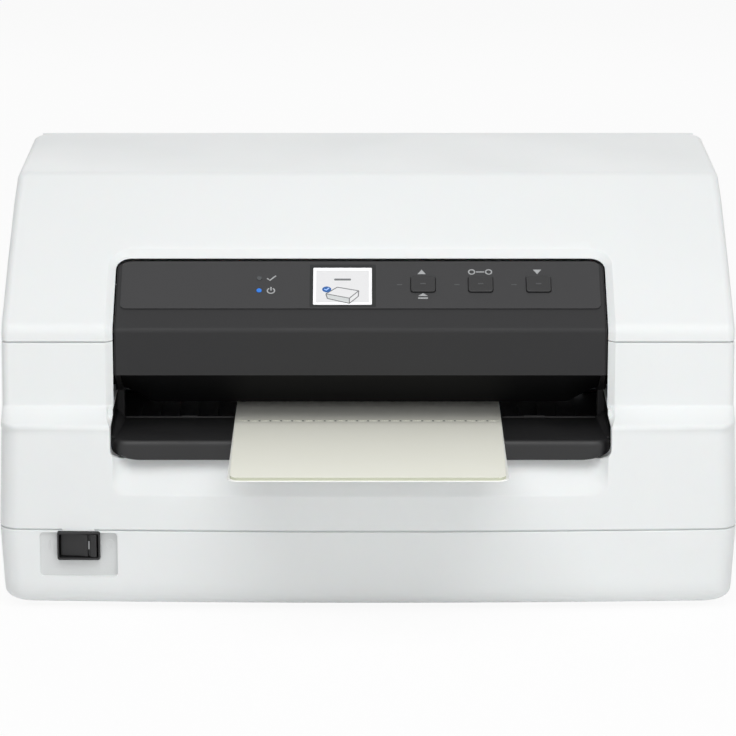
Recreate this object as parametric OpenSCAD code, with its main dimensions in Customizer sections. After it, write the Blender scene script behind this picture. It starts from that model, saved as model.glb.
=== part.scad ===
// Flatbed passbook printer: a dot matrix printer with a hinged cover, a sloped control face,
// a straight paper path from the front tray to a slot in the back, and an open booklet in it.
// +X is to the printer's right as seen from the front, +Y points to the back, +Z is up.
// The modules draw in a frame whose y = 0 is the lower front wall; placed() moves them to the origin.

/* [Case] */
// Width of the case where its front steps back
case_w = 384; // [382:1:388]
// How far each side leans out from there down to the seam of the base
side_flare = 2.1; // [1.5:0.1:2.5]
// Depth of the case from its front wall to its back wall
case_d = 242; // [242:1:250]
// Height of the flat top above the table
case_h = 213.7; // [212:0.1:216]
// Height of the seam between the base and the middle case
base_seam = 44; // [43.5:0.5:45]
// Height of the seam under the hinged cover
cover_seam = 142; // [141:0.5:143]
// Wall thickness of the case mouldings
wall = 3; // [2.6:0.1:3.2]
// How far the lower front bows out between its corners
front_bow = 4.5; // [3:0.5:6]
// Radius of the front corners seen from above
front_corner = 11; // [9:1:14]
// Radius of the back corners seen from above
rear_corner = 14; // [10:1:16]
// Height of the rubber feet
foot_h = 2.8; // [2.6:0.2:3.4]

/* [Front] */
// Setback of the upper front face behind the lower one
face_setback = 17; // [16:0.5:18]
// Height of the shelf where it meets the upper front face
shelf_h = 107.5; // [106:0.5:109]
// Slope of the shelf from level
shelf_angle = 23.3; // [20:0.1:26]
// Slope of the control face from level
face_angle = 33.5; // [33:0.1:34]
// Height at which the control face would meet the upper front face
slope_foot = 149.9; // [149:0.1:151]
// Left edge of the opening for the control panel
notch_left = -133.6; // [-135:0.1:-132]
// Right edge of the opening for the control panel
notch_right = 125.6; // [124:0.1:127]
// Length of that opening up the control face
notch_up = 46.3; // [45:0.1:48]
// Height of the tray top
tray_h = 92.2; // [91.8:0.1:92.2]
// Depth of the tray from its lip to its back edge
tray_d = 49; // [46:1:49]

/* [Passbook] */
// Width of the open booklet
book_w = 142; // [120:1:150]
// Length of the open booklet, two pages
book_l = 224; // [200:1:226]
// Thickness of the booklet
book_t = 2.4; // [1:0.1:2.4]
// How far the booklet stands out in front of the case
book_out = 75.5; // [60:0.5:80]

/* [Paper feed] */
// Distance of the front feed rollers from the front wall
front_roller_y = 96; // [95:0.5:96]
// Radius of the driven rubber rollers
feed_r = 9; // [8:0.1:9]
// Radius of the pinch rollers
pinch_r = 7; // [6:0.1:7]

/* [Carriage] */
// Distance of the carriage shaft from the front wall
shaft_y = 150; // [149:0.5:150]
// Height of the carriage shaft
shaft_z = 126; // [126:0.5:128]
// Radius of the carriage shaft
shaft_r = 5; // [4:0.5:5]
// Distance of each belt pulley from the middle of the printer
pulley_x = 152; // [150:1:152]
// Width of the carriage
carriage_w = 48; // [40:1:48]

/* [Hidden] */

eps = 0.01;
big = 600;
half_w = case_w / 2;

// Finish colours
white = "#f1f3f2";
black = "#1b1b1c";
panel_dark = "#3a3a3b";
plate_dark = "#474748";
steel = "#a9adb0";
rubber = "#2b2b2c";
board_green = "#2f6b46";
nylon = "#e6e3d8";

// Side, front and plan shapes of the case
bottom_round_y = 8;
crease_z = 16;
back_bottom_r = 8;
back_top_r = 15;
bend_r = 7;
face_slope_start = 6.84;
shelf_r = 4;
base_half = half_w + side_flare;
base_foot_half = base_half - 1.9;
base_foot_r = 9;
shoulder_half = half_w - 0.2;
crown_half = half_w - 0.9;
crown_z = 186;
top_half = half_w - 2.1;
top_edge_r = 4;
shelf_foot = shelf_h - face_setback * tan(shelf_angle);
slope_top_y = face_setback + (case_h - slope_foot) / tan(face_angle);
bow_r = (pow(base_half - front_corner, 2) + pow(front_bow, 2)) / (2 * front_bow);

// Hinge of the cover, a round edge that turns inside the rear cover
hinge_y = 228.5;
hinge_r = 4.2;
hinge_z = case_h - hinge_r;
hinge_gap = 0.5;
hinge_pin_r = 2;
knuckle_x = 136;
knuckle_half = 5.5;
cover_gap = 0.4;

// Opening in the front and what fills it
chamfer_w = 3.4;
notch_under = 8;
notch_deep = 14;
panel_depth = wall + 0.3;
bay_left = -134.8;
bay_right = 127.2;
bay_floor = 81.4;
bay_flare_z = 90.5;
bay_wall = 2.4;
bay_back = 62;
pocket_foot = 63;
pocket_in = 9;
tray_y = 4;
tray_corner = 8.5;
tray_wall = 2.5;
tray_play = 0.3;
rim_h = 4;
rim_t = 2;
slot_y = 56;
slot_z = 100.4;
housing_foot = 123.5;
housing_wall = 2.5;
housing_up = 50;
pillar_w = 5;
pillar_y = [bay_back - 8, bay_back - 2];
cheek_z = 97;
plate_t = 0.6;
plate_s = [9.7, 43.7];
plate_left = -130.4;
plate_right = 122.5;
panel_mid = (notch_left + notch_right) / 2;
board_depth = 13;
button_x = [29.1, 59.5, 90.1];
button_s = 27;
button_w = 12.9;
button_l = 11.5;
button_stand = 0.9;
lens_x = -57.5;
lens_s = [22.6, 31.6];
lens_r = 1.4;
lcd_left = -29;
lcd_right = 2.1;
lcd_s = [12.3, 39.7];

// Paper path
book_z = tray_h + 0.1;
path_play = 0.3;
gear_m = 1;
roller_teeth = 28;
pinion_teeth = 14;
rear_roller_y = front_roller_y + 2 * gear_m * roller_teeth;
feed_z = book_z - path_play - feed_r;
pinch_z = book_z + book_t + path_play + pinch_r;
print_y = (front_roller_y + rear_roller_y) / 2;
roller_x = [-58, -22, 22, 58];
tire_w = 20;
feed_shaft_r = 3;
pinch_shaft_r = 2.5;
running_fit = 0.06;
guide_half = 172;
lower_guide_z = 87;
guide_z = 88.5;
guide_t = 3;
rib_step = 10.2;
rib_w = 1.6;
platen_half = 118;
platen_w = 12;
spring_x = 70;

// Frame
chassis_z = 12;
chassis_t = 1.5;
chassis_half = 176;
chassis_ends = [32, 230];
frame_x = 172;
frame_t = 2;
frame_foot = chassis_z + chassis_t;
frame_ends = [58, 205];
frame_top = 146;
frame_shoulder = 128;
tab_w = 10;
rail_y = [176, 188];
rail_z = 106;
board_z = 20;
board_t = 1.6;
standoff_r = 3;
supply_x = [-166, -62];
supply_y = [146, 218];
main_x = [-50, 164];
main_y = [146, 226.5];
bush_r = 5;
motor_boss_r = 11;

// Screws, bosses and feet
screw_r = 1.5;
boss_x = 181;
boss_y = [24, case_d - 22];
boss_r = 4.5;
boss_top = 16;
well_r = 3.4;
well_h = 29;
foot_x = 160;
foot_y = [42, 210];
foot_r = 10;
peg_r = 2;
chassis_x = 150;
chassis_y = [40, 215];
frame_foot_y = [76, 190];
frame_foot_x = frame_x - 6;

// Gear train, all outside the left side frame
gear_x = -185;
gear_w = 7;
pinion_z = feed_z - gear_m * (roller_teeth + pinion_teeth) / 2;
motor_side = 42;

// Carriage drive
belt_y = 174;
belt_r = 8;
belt_t = 1.2;
belt_z = 140;
belt_w = 6;
bracket_z = 136;
carriage_z = 110.3;
carriage_t = 4;
motor_r = 18;
motor_h = 25;
head_half = 12.8;
head_deep = 10.8;
head_z = 104;
fin_z = 118;
fin_step = 5;

// Ribbon
ribbon_z = 95.9;
ribbon_w = 13;
ribbon_half = 136;
cartridge_z = 112;
cartridge_h = 20;
cartridge_y = [66, 104];
cartridge_half = 162;
knob_x = -144;
knob_y = 84;

// Power switch and sockets
recess_x = [-172.6, -131.6];
recess_z = [18.7, 42.6];
recess_deep = 5.4;
switch_x = -152;
switch_w = 22.5;
switch_z = [27.9, 43.4];
switch_h = switch_z[1] - switch_z[0];
switch_y = 1.6;
rocker_y = switch_y + 3.2;
rocker_pin_r = 1;
rocker_tilt = 8;
inlet_x = -140;
socket_z = 25;
inlet_w = 28;
inlet_z = [15, 35];
ports_x = [6, 166];
ports_z = [13, 40];
vent_x = -104;
vent_w = 3;
vent_step = 8;
vent_z = [15, 35];
exit_half = 122;
exit_z = [90, 104];
pin_half = 16;
usb_x = 24;
serial_x = 62;
parallel_x = 122;
ports_y = case_d - wall;

plan_shift = (book_out - case_d) / 2;

function arc(cx, cy, r, from, to, n = 6) =
    [for (i = [0:n]) let (a = from + (to - from) * i / n) [cx + r * cos(a), cy + r * sin(a)]];

// Outline of the case from its right side, as y and z, drawn inwards by t
function side_profile(t) = concat(
    arc(case_d - back_bottom_r, foot_h + back_bottom_r, back_bottom_r - t, -90, 0, 4),
    arc(case_d - back_top_r, case_h - back_top_r, back_top_r - t, 0, 90, 7),
    [[slope_top_y + t * tan(face_angle / 2), case_h - t]],
    arc(face_setback + bend_r, slope_foot - bend_r * tan(45 - face_angle / 2), bend_r - t,
        90 + face_angle, 180, 4),
    [[face_setback + t, shelf_h - t * (1 / cos(shelf_angle) - tan(shelf_angle))]],
    arc(shelf_r, shelf_foot - shelf_r * tan(45 - shelf_angle / 2), shelf_r - t, 90 + shelf_angle, 180, 4),
    [for (a = [180:15:270])
        [bottom_round_y + (bottom_round_y - t) * cos(a), crease_z + (crease_z - foot_h - t) * sin(a)]]);

// Right half of the outline from the front, as x and z, drawn inwards by t
function front_half(t) = concat(
    arc(base_foot_half - base_foot_r, foot_h + base_foot_r, base_foot_r - t, -90, 0, 5),
    [[base_half - t, base_seam], [half_w - t, shelf_h], [shoulder_half - t, slope_foot],
        [crown_half - t, crown_z]],
    arc(top_half - top_edge_r, case_h - top_edge_r, top_edge_r - t, 0, 90, 4));

// Right half of the outline from above, as x and y, drawn inwards by t
function plan_half(t) = concat(
    [for (i = [1:4]) let (x = (base_half - front_corner) * i / 4)
        [x, bow_r - sqrt(bow_r * bow_r - x * x) + t]],
    arc(base_half - front_corner, front_bow + front_corner, front_corner - t, -75, 0, 5),
    arc(base_half - rear_corner, case_d - rear_corner, rear_corner - t, 0, 90, 6));

function mirrored(half) = concat(half, [for (i = [len(half) - 1:-1:0]) [-half[i][0], half[i][1]]]);

// Rounded bar or frame outline as a list of points
function rounded(w, h, r, n = 5) = concat(
    arc(w / 2 - r, h / 2 - r, r, 0, 90, n), arc(r - w / 2, h / 2 - r, r, 90, 180, n),
    arc(r - w / 2, r - h / 2, r, 180, 270, n), arc(w / 2 - r, r - h / 2, r, 270, 360, n));

function gear_outline(teeth) = let (r = teeth * gear_m / 2, step = 360 / teeth) [
    for (i = [0:teeth - 1])
        for (p = [[-0.30, -1.25], [-0.235, 0], [-0.09, 0.9], [0.09, 0.9], [0.235, 0], [0.30, -1.25]])
            (r + p[1] * gear_m) * [cos((i + p[0]) * step), sin((i + p[0]) * step)]];

module placed() translate([0, plan_shift, 0]) children();

// Extrudes a y-z outline along X from x0 over a length
module along_x(x0, length) translate([x0, 0, 0]) rotate([90, 0, 90]) linear_extrude(length) children();

// Extrudes an x-z outline along Y from y0 towards the back
module along_y(y0, length) translate([0, y0 + length, 0]) rotate([90, 0, 0])
    linear_extrude(length) children();

// A box from its low corner to its high corner
module block(from, to) translate(from) cube(to - from);

// A round bar along X at a place given as y and z
module bar_x(x0, length, at, r) translate([x0, at[0], at[1]]) rotate([0, 90, 0])
    cylinder(h = length, r = r, $fn = 48);

// A round post along Z
module post(at, length, r) translate(at) cylinder(h = length, r = r, $fn = 40);

// Draws on the control face: x across, y up the slope, z square out of the face
module on_face() translate([0, face_setback, slope_foot]) rotate([face_angle, 0, 0])
    translate([0, face_slope_start, 0]) children();

module case_form(t = 0) intersection() {
    along_x(-base_half - 1, 2 * base_half + 2) polygon(side_profile(t));
    along_y(-1, case_d + 2) polygon(mirrored(front_half(t)));
    linear_extrude(case_h + 1) polygon(mirrored(plan_half(t)));
}

module case_shell(z0, z1) intersection() {
    difference() {
        case_form();
        case_form(wall);
    }
    block([-big, -big, z0], [big, big, z1]);
}

// Opening for the panel: down the control face and the front, with a bevelled edge
module notch() {
    wide = [notch_left - chamfer_w, notch_right + chamfer_w];
    across = [[wide[0] - 1, 1], [notch_left, -wall], [notch_left, -big], [notch_right, -big],
        [notch_right, -wall], [wide[1] + 1, 1]];
    on_face() intersection() {
        translate([0, notch_up + big, 0]) rotate([90, 0, 0]) linear_extrude(2 * big) polygon(across);
        along_x(-big, 2 * big) polygon([[-notch_under, 1], [notch_up + chamfer_w + 1, 1],
            [notch_up, -wall], [notch_up, -notch_deep], [-notch_under, -notch_deep]]);
    }
    translate([0, face_setback, bay_floor]) linear_extrude(slope_foot - bay_floor)
        polygon([for (p = across) [p[0], min(-p[1], 3 * bend_r)]]);
}

// Bay that the tray and the paper slot stand in
function bay_outline(grow) = [[bay_left - grow, shelf_h + 0.5], [bay_left - grow, bay_flare_z],
    [notch_left - grow, bay_floor - grow], [notch_right + grow, bay_floor - grow],
    [bay_right + grow, bay_flare_z], [bay_right + grow, shelf_h + 0.5]];

// Screw bosses at the left and right walls, each tied to its wall by a rib
module case_bosses(z0, z1) for (x = [-boss_x, boss_x], y = boss_y)
    difference() {
        union() {
            post([x, y, z0], z1 - z0, boss_r);
            translate([x, y, z0]) mirror([x < 0 ? 1 : 0, 0, 0])
                block([0, -screw_r, 0], [base_half - boss_x, screw_r, z1 - z0]);
        }
        post([x, y, z0 - 1], z1 - z0 + 2, screw_r);
    }

module base_case() color(white) difference() {
    union() {
        case_shell(foot_h, base_seam);
        intersection() {
            case_form(wall / 2);
            union() {
                case_bosses(foot_h, base_seam);
                for (x = [-chassis_x, chassis_x], y = chassis_y)
                    post([x, y, foot_h], chassis_z - foot_h, boss_r);
                block([recess_x[0] - 2, 2, recess_z[0] - 2],
                    [recess_x[1] + 2, recess_deep + wall, base_seam]);
                block([inlet_x - inlet_w / 2 - 5, case_d - 2 * wall, inlet_z[0] - 7],
                    [inlet_x + inlet_w / 2 + 5, case_d, inlet_z[1] + 5]);
            }
        }
    }
    for (x = [-boss_x, boss_x], y = boss_y) post([x, y, foot_h - 1], well_h + 1, well_r);
    for (x = [-foot_x, foot_x], y = foot_y) post([x, y, foot_h - 1], 2 * wall, peg_r);
    for (x = [-chassis_x, chassis_x], y = chassis_y) post([x, y, chassis_z - 5], 2 * wall, screw_r);
    translate([(recess_x[0] + recess_x[1]) / 2, 0, (recess_z[0] + recess_z[1]) / 2]) along_y(0, recess_deep)
        polygon(rounded(recess_x[1] - recess_x[0], recess_z[1] - recess_z[0], 2.2));
    block([switch_x - switch_w / 2, -1, switch_z[0]], [switch_x + switch_w / 2, 30, base_seam + 1]);
    block([inlet_x - inlet_w / 2, case_d - 20, inlet_z[0]], [inlet_x + inlet_w / 2, case_d + 1, inlet_z[1]]);
    block([ports_x[0] + 2, case_d - 10, ports_z[0] + 1], [ports_x[1] - 2, case_d + 1, ports_z[1] - 2]);
    for (i = [0:11]) translate([vent_x + vent_step * i, 0, 0])
        block([0, case_d - 5, vent_z[0]], [vent_w, case_d + 1, vent_z[1]]);
}

module middle_case() color(white) difference() {
    union() {
        difference() {
            case_shell(base_seam, cover_seam);
            notch();
        }
        intersection() {
            case_form(0.4);
            along_y(0, bay_back) polygon(bay_outline(bay_wall));
        }
        intersection() {
            case_form(wall / 2);
            union() {
                case_bosses(base_seam, base_seam + boss_top);
                along_x(notch_left - bay_wall, notch_right - notch_left + 2 * bay_wall)
                    polygon([[0, pocket_foot - 4], [pocket_in, bay_floor], [pocket_in + 3, bay_floor],
                        [3, pocket_foot - 6]]);
            }
        }
    }
    along_y(-1, bay_back + 2) polygon(bay_outline(0));
    along_x(notch_left, notch_right - notch_left)
        polygon([[-1, pocket_foot], [0, pocket_foot], [pocket_in, bay_floor + 1], [-1, bay_floor + 1]]);
    block([-exit_half, case_d - 10, exit_z[0]], [exit_half, case_d + 1, exit_z[1]]);
}

module hinge_bar(r, from, to) for (side = [-1, 1])
    bar_x(side > 0 ? from : -to, to - from, [hinge_y, hinge_z], r);

module rear_cover() color(white) difference() {
    union() {
        intersection() {
            difference() {
                case_shell(cover_seam, case_h + 1);
                bar_x(-big, 2 * big, [hinge_y, hinge_z], hinge_r + hinge_gap);
            }
            block([-big, hinge_y + cover_gap, 0], [big, big, big]);
        }
        intersection() {
            case_form();
            union() {
                hinge_bar(hinge_r, knuckle_x - knuckle_half, knuckle_x + knuckle_half);
                for (x = [-knuckle_x, knuckle_x])
                    block([x - knuckle_half, hinge_y, hinge_z - hinge_r],
                        [x + knuckle_half, case_d - 2, hinge_z + 2]);
            }
        }
    }
    hinge_bar(hinge_pin_r, knuckle_x - pin_half, knuckle_x + pin_half);
}

module top_cover() color(white) difference() {
    union() {
        intersection() {
            case_shell(cover_seam + cover_gap, case_h + 1);
            block([-big, -big, 0], [big, hinge_y - cover_gap, big]);
        }
        intersection() {
            case_form();
            bar_x(-top_half + 3, 2 * top_half - 6, [hinge_y, hinge_z], hinge_r);
        }
    }
    notch();
    hinge_bar(hinge_r + hinge_gap, knuckle_x - knuckle_half - hinge_gap,
        knuckle_x + knuckle_half + hinge_gap);
    hinge_bar(hinge_pin_r + running_fit, knuckle_x - pin_half - 1, knuckle_x + pin_half + 1);
}

module hinge_pins() color(steel) hinge_bar(hinge_pin_r, knuckle_x - pin_half, knuckle_x + pin_half);

module rubber_feet() color(rubber) for (x = [-foot_x, foot_x], y = foot_y) {
    translate([x, y, 0]) rotate_extrude($fn = 48)
        polygon([[0, 0], [foot_r - 0.8, 0], [foot_r, 1], [foot_r, foot_h], [0, foot_h]]);
    post([x, y, foot_h - eps], 4, peg_r);
}

// A cross-head screw, its head upwards, placed by the underside of its head
module screw(length, head) difference() {
    union() {
        translate([0, 0, -length]) cylinder(h = length + eps, r = screw_r, $fn = 32);
        cylinder(h = 2, r = head, $fn = 32);
    }
    for (turn = [0, 90]) rotate(turn) block([0.4 - head, -0.4, 0.9], [head - 0.4, 0.4, 3]);
}

// Four long screws from below that hold base and middle case together
module case_screws() color(steel) for (x = [-boss_x, boss_x], y = boss_y)
    translate([x, y, foot_h + well_h]) rotate([180, 0, 0]) screw(20, 3);

module chassis_plate() color(steel) difference() {
    block([-chassis_half, chassis_ends[0], chassis_z],
        [chassis_half, chassis_ends[1], chassis_z + chassis_t]);
    for (x = [-chassis_x, chassis_x], y = chassis_y) post([x, y, chassis_z - 1], 4, screw_r);
    for (x = [-frame_foot_x, frame_foot_x], y = frame_foot_y) post([x, y, chassis_z - 1], 4, screw_r);
    for (x = [-60, 0, 60]) block([x - 20, 50, chassis_z - 1], [x + 20, 100, chassis_z + 3]);
}

// Side plate at the left, with its foot and a tab bent inwards; the right one is its mirror image
module side_plate(drive) difference() {
    union() {
        along_x(-frame_x - frame_t, frame_t) polygon([[frame_ends[0], frame_foot],
            [frame_ends[1], frame_foot], [frame_ends[1], frame_shoulder], [196, frame_top],
            [142, frame_top], [126, frame_shoulder], [104, 116], [frame_ends[0], cartridge_z]]);
        for (y = frame_foot_y)
            block([-frame_x - eps, y - tab_w, frame_foot], [-frame_x + 12, y + tab_w, frame_foot + frame_t]);
        block([-frame_x - eps, 76, cartridge_z - frame_t], [-frame_x + 16, 98, cartridge_z]);
    }
    for (y = [front_roller_y, rear_roller_y]) {
        bar_x(-frame_x - 5, 10, [y, feed_z], bush_r);
        bar_x(-frame_x - 5, 10, [y, pinch_z], pinch_shaft_r + running_fit);
    }
    bar_x(-frame_x - 5, 10, [shaft_y, shaft_z], shaft_r);
    if (drive) bar_x(-frame_x - 5, 10, [print_y, pinion_z], motor_boss_r);
    bar_x(-frame_x - 5, 10, [print_y, drive ? 30 : 50], 8);
    for (y = frame_foot_y) post([-frame_foot_x, y, frame_foot - 1], 4, screw_r);
}

// The stud for the idler gear is riveted to the left plate
module side_frame_left() color(steel) {
    side_plate(true);
    bar_x(gear_x - 1.2, -frame_x - frame_t - gear_x + 1.2 + eps, [print_y, feed_z], 3);
}

module side_frame_right() color(steel) mirror([1, 0, 0]) side_plate(false);

// Short screws that hold the side frames to the chassis plate, and the plate to the base
module frame_screws() color(steel) {
    for (x = [-frame_foot_x, frame_foot_x], y = frame_foot_y)
        translate([x, y, frame_foot + frame_t]) screw(3.4, 2.8);
    for (x = [-chassis_x, chassis_x], y = chassis_y) translate([x, y, frame_foot]) screw(6, 2.8);
}

module front_tray() color(black) {
    left = bay_left + tray_play;
    right = bay_right - tray_play;
    back = tray_y + tray_d;
    intersection() {
        translate([0, 0, -tray_play]) along_y(0, back + 1) polygon(bay_outline(-tray_play));
        union() {
            along_x(left, right - left) polygon(concat(
                [[back, tray_h], [back, tray_h - tray_wall], [tray_y + 4, tray_h - tray_wall],
                    [tray_y + 4, bay_floor], [tray_y + 1.5, bay_floor]],
                arc(tray_y + 3, bay_floor + 3, 3, 210, 180, 2),
                arc(tray_y + tray_wall, tray_h - tray_wall, tray_wall, 180, 90, 4)));
            for (x = [left + 1.5, -70, 0, 62, right - 3.9])
                block([x, pocket_in + 3, bay_floor], [x + 2.4, back - 1, tray_h - 2]);
        }
        linear_extrude(2 * tray_h) polygon(concat([[left, back + 1]],
            arc(left + tray_corner, tray_y + tray_corner, tray_corner, 180, 270),
            arc(right - tray_corner, tray_y + tray_corner, tray_corner, 270, 360), [[right, back + 1]]));
    }
    for (x = [left, right - rim_t]) along_x(x, rim_t)
        polygon([[tray_y + tray_corner, tray_h - eps], [back, tray_h - eps], [back, tray_h + rim_h],
            [tray_y + tray_d / 2, tray_h + rim_h - 1.2]]);
}

module lower_paper_guide() color(black) difference() {
    union() {
        block([-guide_half, bay_back + 0.4, lower_guide_z], [guide_half, 114.5, lower_guide_z + 2.5]);
        block([notch_left + pillar_w + 1.1, tray_y + tray_d + 0.5, lower_guide_z],
            [notch_right - pillar_w - 1.1, bay_back + 1, lower_guide_z + 2.5]);
        for (i = [-12:11], y = [[tray_y + tray_d + 1.5, 84], [108, 114]])
            block([rib_step * i - rib_w / 2, y[0], lower_guide_z + 1],
                [rib_step * i + rib_w / 2, y[1], tray_h - 0.4]);
    }
    for (x = roller_x) block([x - tire_w / 2 - 3, 84.5, 80], [x + tire_w / 2 + 3, 107.5, 100]);
}

module rear_paper_guide() color(steel) difference() {
    block([-guide_half, print_y + 10.5, guide_z], [guide_half, case_d - wall - 1, guide_z + guide_t]);
    for (x = roller_x) block([x - tire_w / 2 - 3, 141, 80], [x + tire_w / 2 + 3, 163, 100]);
    for (i = [-6:6]) block([20 * i - 5, 176, 80], [20 * i + 5, 226, 100]);
}

// Black funnel over the paper slot, higher at its two ends
module paper_slot_visor() color(black) difference() {
    along_x(notch_left + 3.2, notch_right - notch_left - 6.4) polygon([
        [face_setback + panel_depth + housing_wall, housing_foot], [slot_y - 2, slot_z], [slot_y, slot_z],
        [slot_y, slot_z + 3], [face_setback + panel_depth + housing_wall + 2, housing_foot + 3],
        [face_setback + panel_depth + housing_wall + 2, housing_foot + 8],
        [face_setback + panel_depth + housing_wall, housing_foot + 8]]);
    for (side = [-1, 1]) translate([panel_mid, 0, 0]) along_y(slot_y - 14, 20)
        polygon([[side * 133, slot_z - 2], [side * 110, slot_z - 2], [side * 112, slot_z],
            [side * 127, slot_z + 8], [side * 133, slot_z + 8]]);
}

module platen_rail() color(steel) {
    difference() {
        block([-platen_half, print_y - 10, 64], [platen_half, print_y + 10, 66]);
        for (x = [-spring_x, spring_x]) post([x, print_y, 60], 10, 2.3);
    }
    for (x = [-104, 104]) block([x - 1, print_y - 10, frame_foot], [x + 1, print_y + 10, 64 + eps]);
}

module platen_springs() color(steel) for (x = [-spring_x, spring_x]) translate([x, print_y, 66])
    difference() {
        cylinder(h = 18, r = 4.5, $fn = 40);
        translate([0, 0, -1]) cylinder(h = 20, r = 3.5, $fn = 40);
    }

module platen() color(steel) {
    block([-platen_half, print_y - platen_w / 2, 84],
        [platen_half, print_y + platen_w / 2, book_z - path_play]);
    for (x = [-spring_x, spring_x]) post([x, print_y, 60], 24 + eps, 2.2);
}

module roller_bushings() color("#b08a4a") for (side = [-1, 1], y = [front_roller_y, rear_roller_y])
    difference() {
        bar_x(side * frame_x - (side < 0 ? frame_t : 0), frame_t, [y, feed_z], bush_r);
        bar_x(side * frame_x - 5, 10, [y, feed_z], feed_shaft_r + running_fit);
    }

module feed_shaft(y) difference() {
    bar_x(gear_x - 1, 2 * frame_x + 17, [y, feed_z], feed_shaft_r);
    bar_x(gear_x - 2, 1.5, [y, feed_z], feed_shaft_r - 0.5);
}

module feed_tires(y) for (x = roller_x) difference() {
    bar_x(x - tire_w / 2, tire_w, [y, feed_z], feed_r);
    bar_x(x - tire_w / 2 - 1, tire_w + 2, [y, feed_z], feed_shaft_r);
}

module gear(y, z, teeth, turn, bore) difference() {
    union() {
        translate([0, y, z]) along_x(gear_x, gear_w) rotate(turn) polygon(gear_outline(teeth));
        bar_x(gear_x + gear_w - eps, 1.5, [y, z], bore + 1.8);
    }
    bar_x(gear_x - 1, gear_w + 4, [y, z], bore);
}

module front_feed_shaft() color(steel) feed_shaft(front_roller_y);

module rear_feed_shaft() color(steel) feed_shaft(rear_roller_y);

module front_feed_tires() color(rubber) feed_tires(front_roller_y);

module rear_feed_tires() color(rubber) feed_tires(rear_roller_y);

module front_feed_gear() color(nylon) gear(front_roller_y, feed_z, roller_teeth, 0, feed_shaft_r);

module rear_feed_gear() color(nylon) gear(rear_roller_y, feed_z, roller_teeth, 0, feed_shaft_r);

module idler_gear() color(nylon)
    gear(print_y, feed_z, roller_teeth, 180 / roller_teeth, 3 + running_fit);

module feed_pinion() color(steel) {
    gear(print_y, pinion_z, pinion_teeth, 180 / pinion_teeth, 2.5);
    bar_x(gear_x, 32, [print_y, pinion_z], 2.5);
}

module pinch_rollers(y) {
    bar_x(-frame_x - 4, 2 * frame_x + 8, [y, pinch_z], pinch_shaft_r);
    for (x = roller_x) bar_x(x - tire_w / 2 + 1, tire_w - 2, [y, pinch_z], pinch_r);
}

module front_pinch_rollers() color(rubber) pinch_rollers(front_roller_y);

module rear_pinch_rollers() color(rubber) pinch_rollers(rear_roller_y);

module feed_motor() color("#4a4d50") difference() {
    union() {
        translate([0, print_y, pinion_z]) along_x(-frame_x, 34) polygon(rounded(motor_side, motor_side, 4));
        bar_x(-frame_x - frame_t, frame_t + eps, [print_y, pinion_z], motor_boss_r - 0.05);
    }
    bar_x(-frame_x - 8, 28, [print_y, pinion_z], 2.5 + running_fit);
}

module carriage_shaft() color(steel)
    bar_x(-frame_x - frame_t, 2 * (frame_x + frame_t), [shaft_y, shaft_z], shaft_r);

module guide_rail() color(steel) {
    block([-frame_x, rail_y[0], rail_z], [frame_x, rail_y[1], rail_z + frame_t]);
    block([-frame_x, rail_y[1] - frame_t, rail_z - 10], [frame_x, rail_y[1], rail_z + eps]);
}

module carriage() color(black) difference() {
    union() {
        block([-carriage_w / 2, 110, carriage_z], [carriage_w / 2, 185, carriage_z + carriage_t]);
        block([-carriage_w / 2, shaft_y - 9, carriage_z], [carriage_w / 2, shaft_y + 9, shaft_z + 9]);
        block([-12, 162, carriage_z], [12, 171, belt_z + belt_w + 2]);
        block([-19, 110, carriage_z], [-16.5, 142, carriage_z + 14]);
        block([16.5, 110, carriage_z], [19, 142, carriage_z + 14]);
        block([-8, rail_y[0] + 1, rail_z + frame_t + 0.3], [8, rail_y[1] - 4, carriage_z + 1]);
    }
    bar_x(-big / 2, big, [shaft_y, shaft_z], shaft_r + 2);
    block([-head_half, print_y - head_deep, carriage_z - 1],
        [head_half, print_y + head_deep, carriage_z + carriage_t + 1]);
    block([-13, belt_y - belt_r - belt_t - 0.5, belt_z - 0.5],
        [13, belt_y - belt_r + 0.5, belt_z + belt_w + 3]);
}

module carriage_bushings() color("#b08a4a") for (x = [-carriage_w / 2, carriage_w / 2 - 12]) difference() {
    bar_x(x, 12, [shaft_y, shaft_z], shaft_r + 2);
    bar_x(x - 1, 14, [shaft_y, shaft_z], shaft_r + running_fit);
}

module print_head() color("#55585b") {
    block([-4, print_y - 5, ribbon_z + 0.5], [4, print_y + 5, head_z]);
    block([-head_half, print_y - head_deep, head_z - eps], [head_half, print_y + head_deep, fin_z]);
    for (i = [0:5]) translate([0, print_y, fin_z - eps + fin_step * i]) {
        linear_extrude(fin_step + eps) circle(r = 12, $fn = 48);
        linear_extrude(2) polygon(rounded(32, 30, 5));
    }
}

module ribbon_mask() color("#c9cccd") {
    block([-20, print_y - 10, ribbon_z - 0.6], [20, print_y + 12, ribbon_z - 0.3]);
    for (x = [-20, 18]) block([x, print_y + 9, ribbon_z - 0.6], [x + 2, print_y + 12, carriage_z]);
}

module carriage_motor() color("#4a4d50") difference() {
    post([-pulley_x, belt_y, bracket_z - motor_h], motor_h, motor_r);
    post([-pulley_x, belt_y, bracket_z - motor_h + 5], motor_h, 2.5 + running_fit);
}

module motor_bracket() color(steel) difference() {
    block([-frame_x, belt_y - 18, bracket_z], [-130, belt_y + 18, bracket_z + 2]);
    post([-pulley_x, belt_y, bracket_z - 1], 4, 4);
}

module pulley(bore) difference() {
    union() {
        cylinder(h = belt_w + 3, r = belt_r - 0.3, $fn = 48);
        cylinder(h = 1.2, r = belt_r + 2, $fn = 48);
        translate([0, 0, belt_w + 1.8]) cylinder(h = 1.2, r = belt_r + 2, $fn = 48);
    }
    translate([0, 0, -1]) cylinder(h = belt_w + 5, r = bore, $fn = 48);
}

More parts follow.
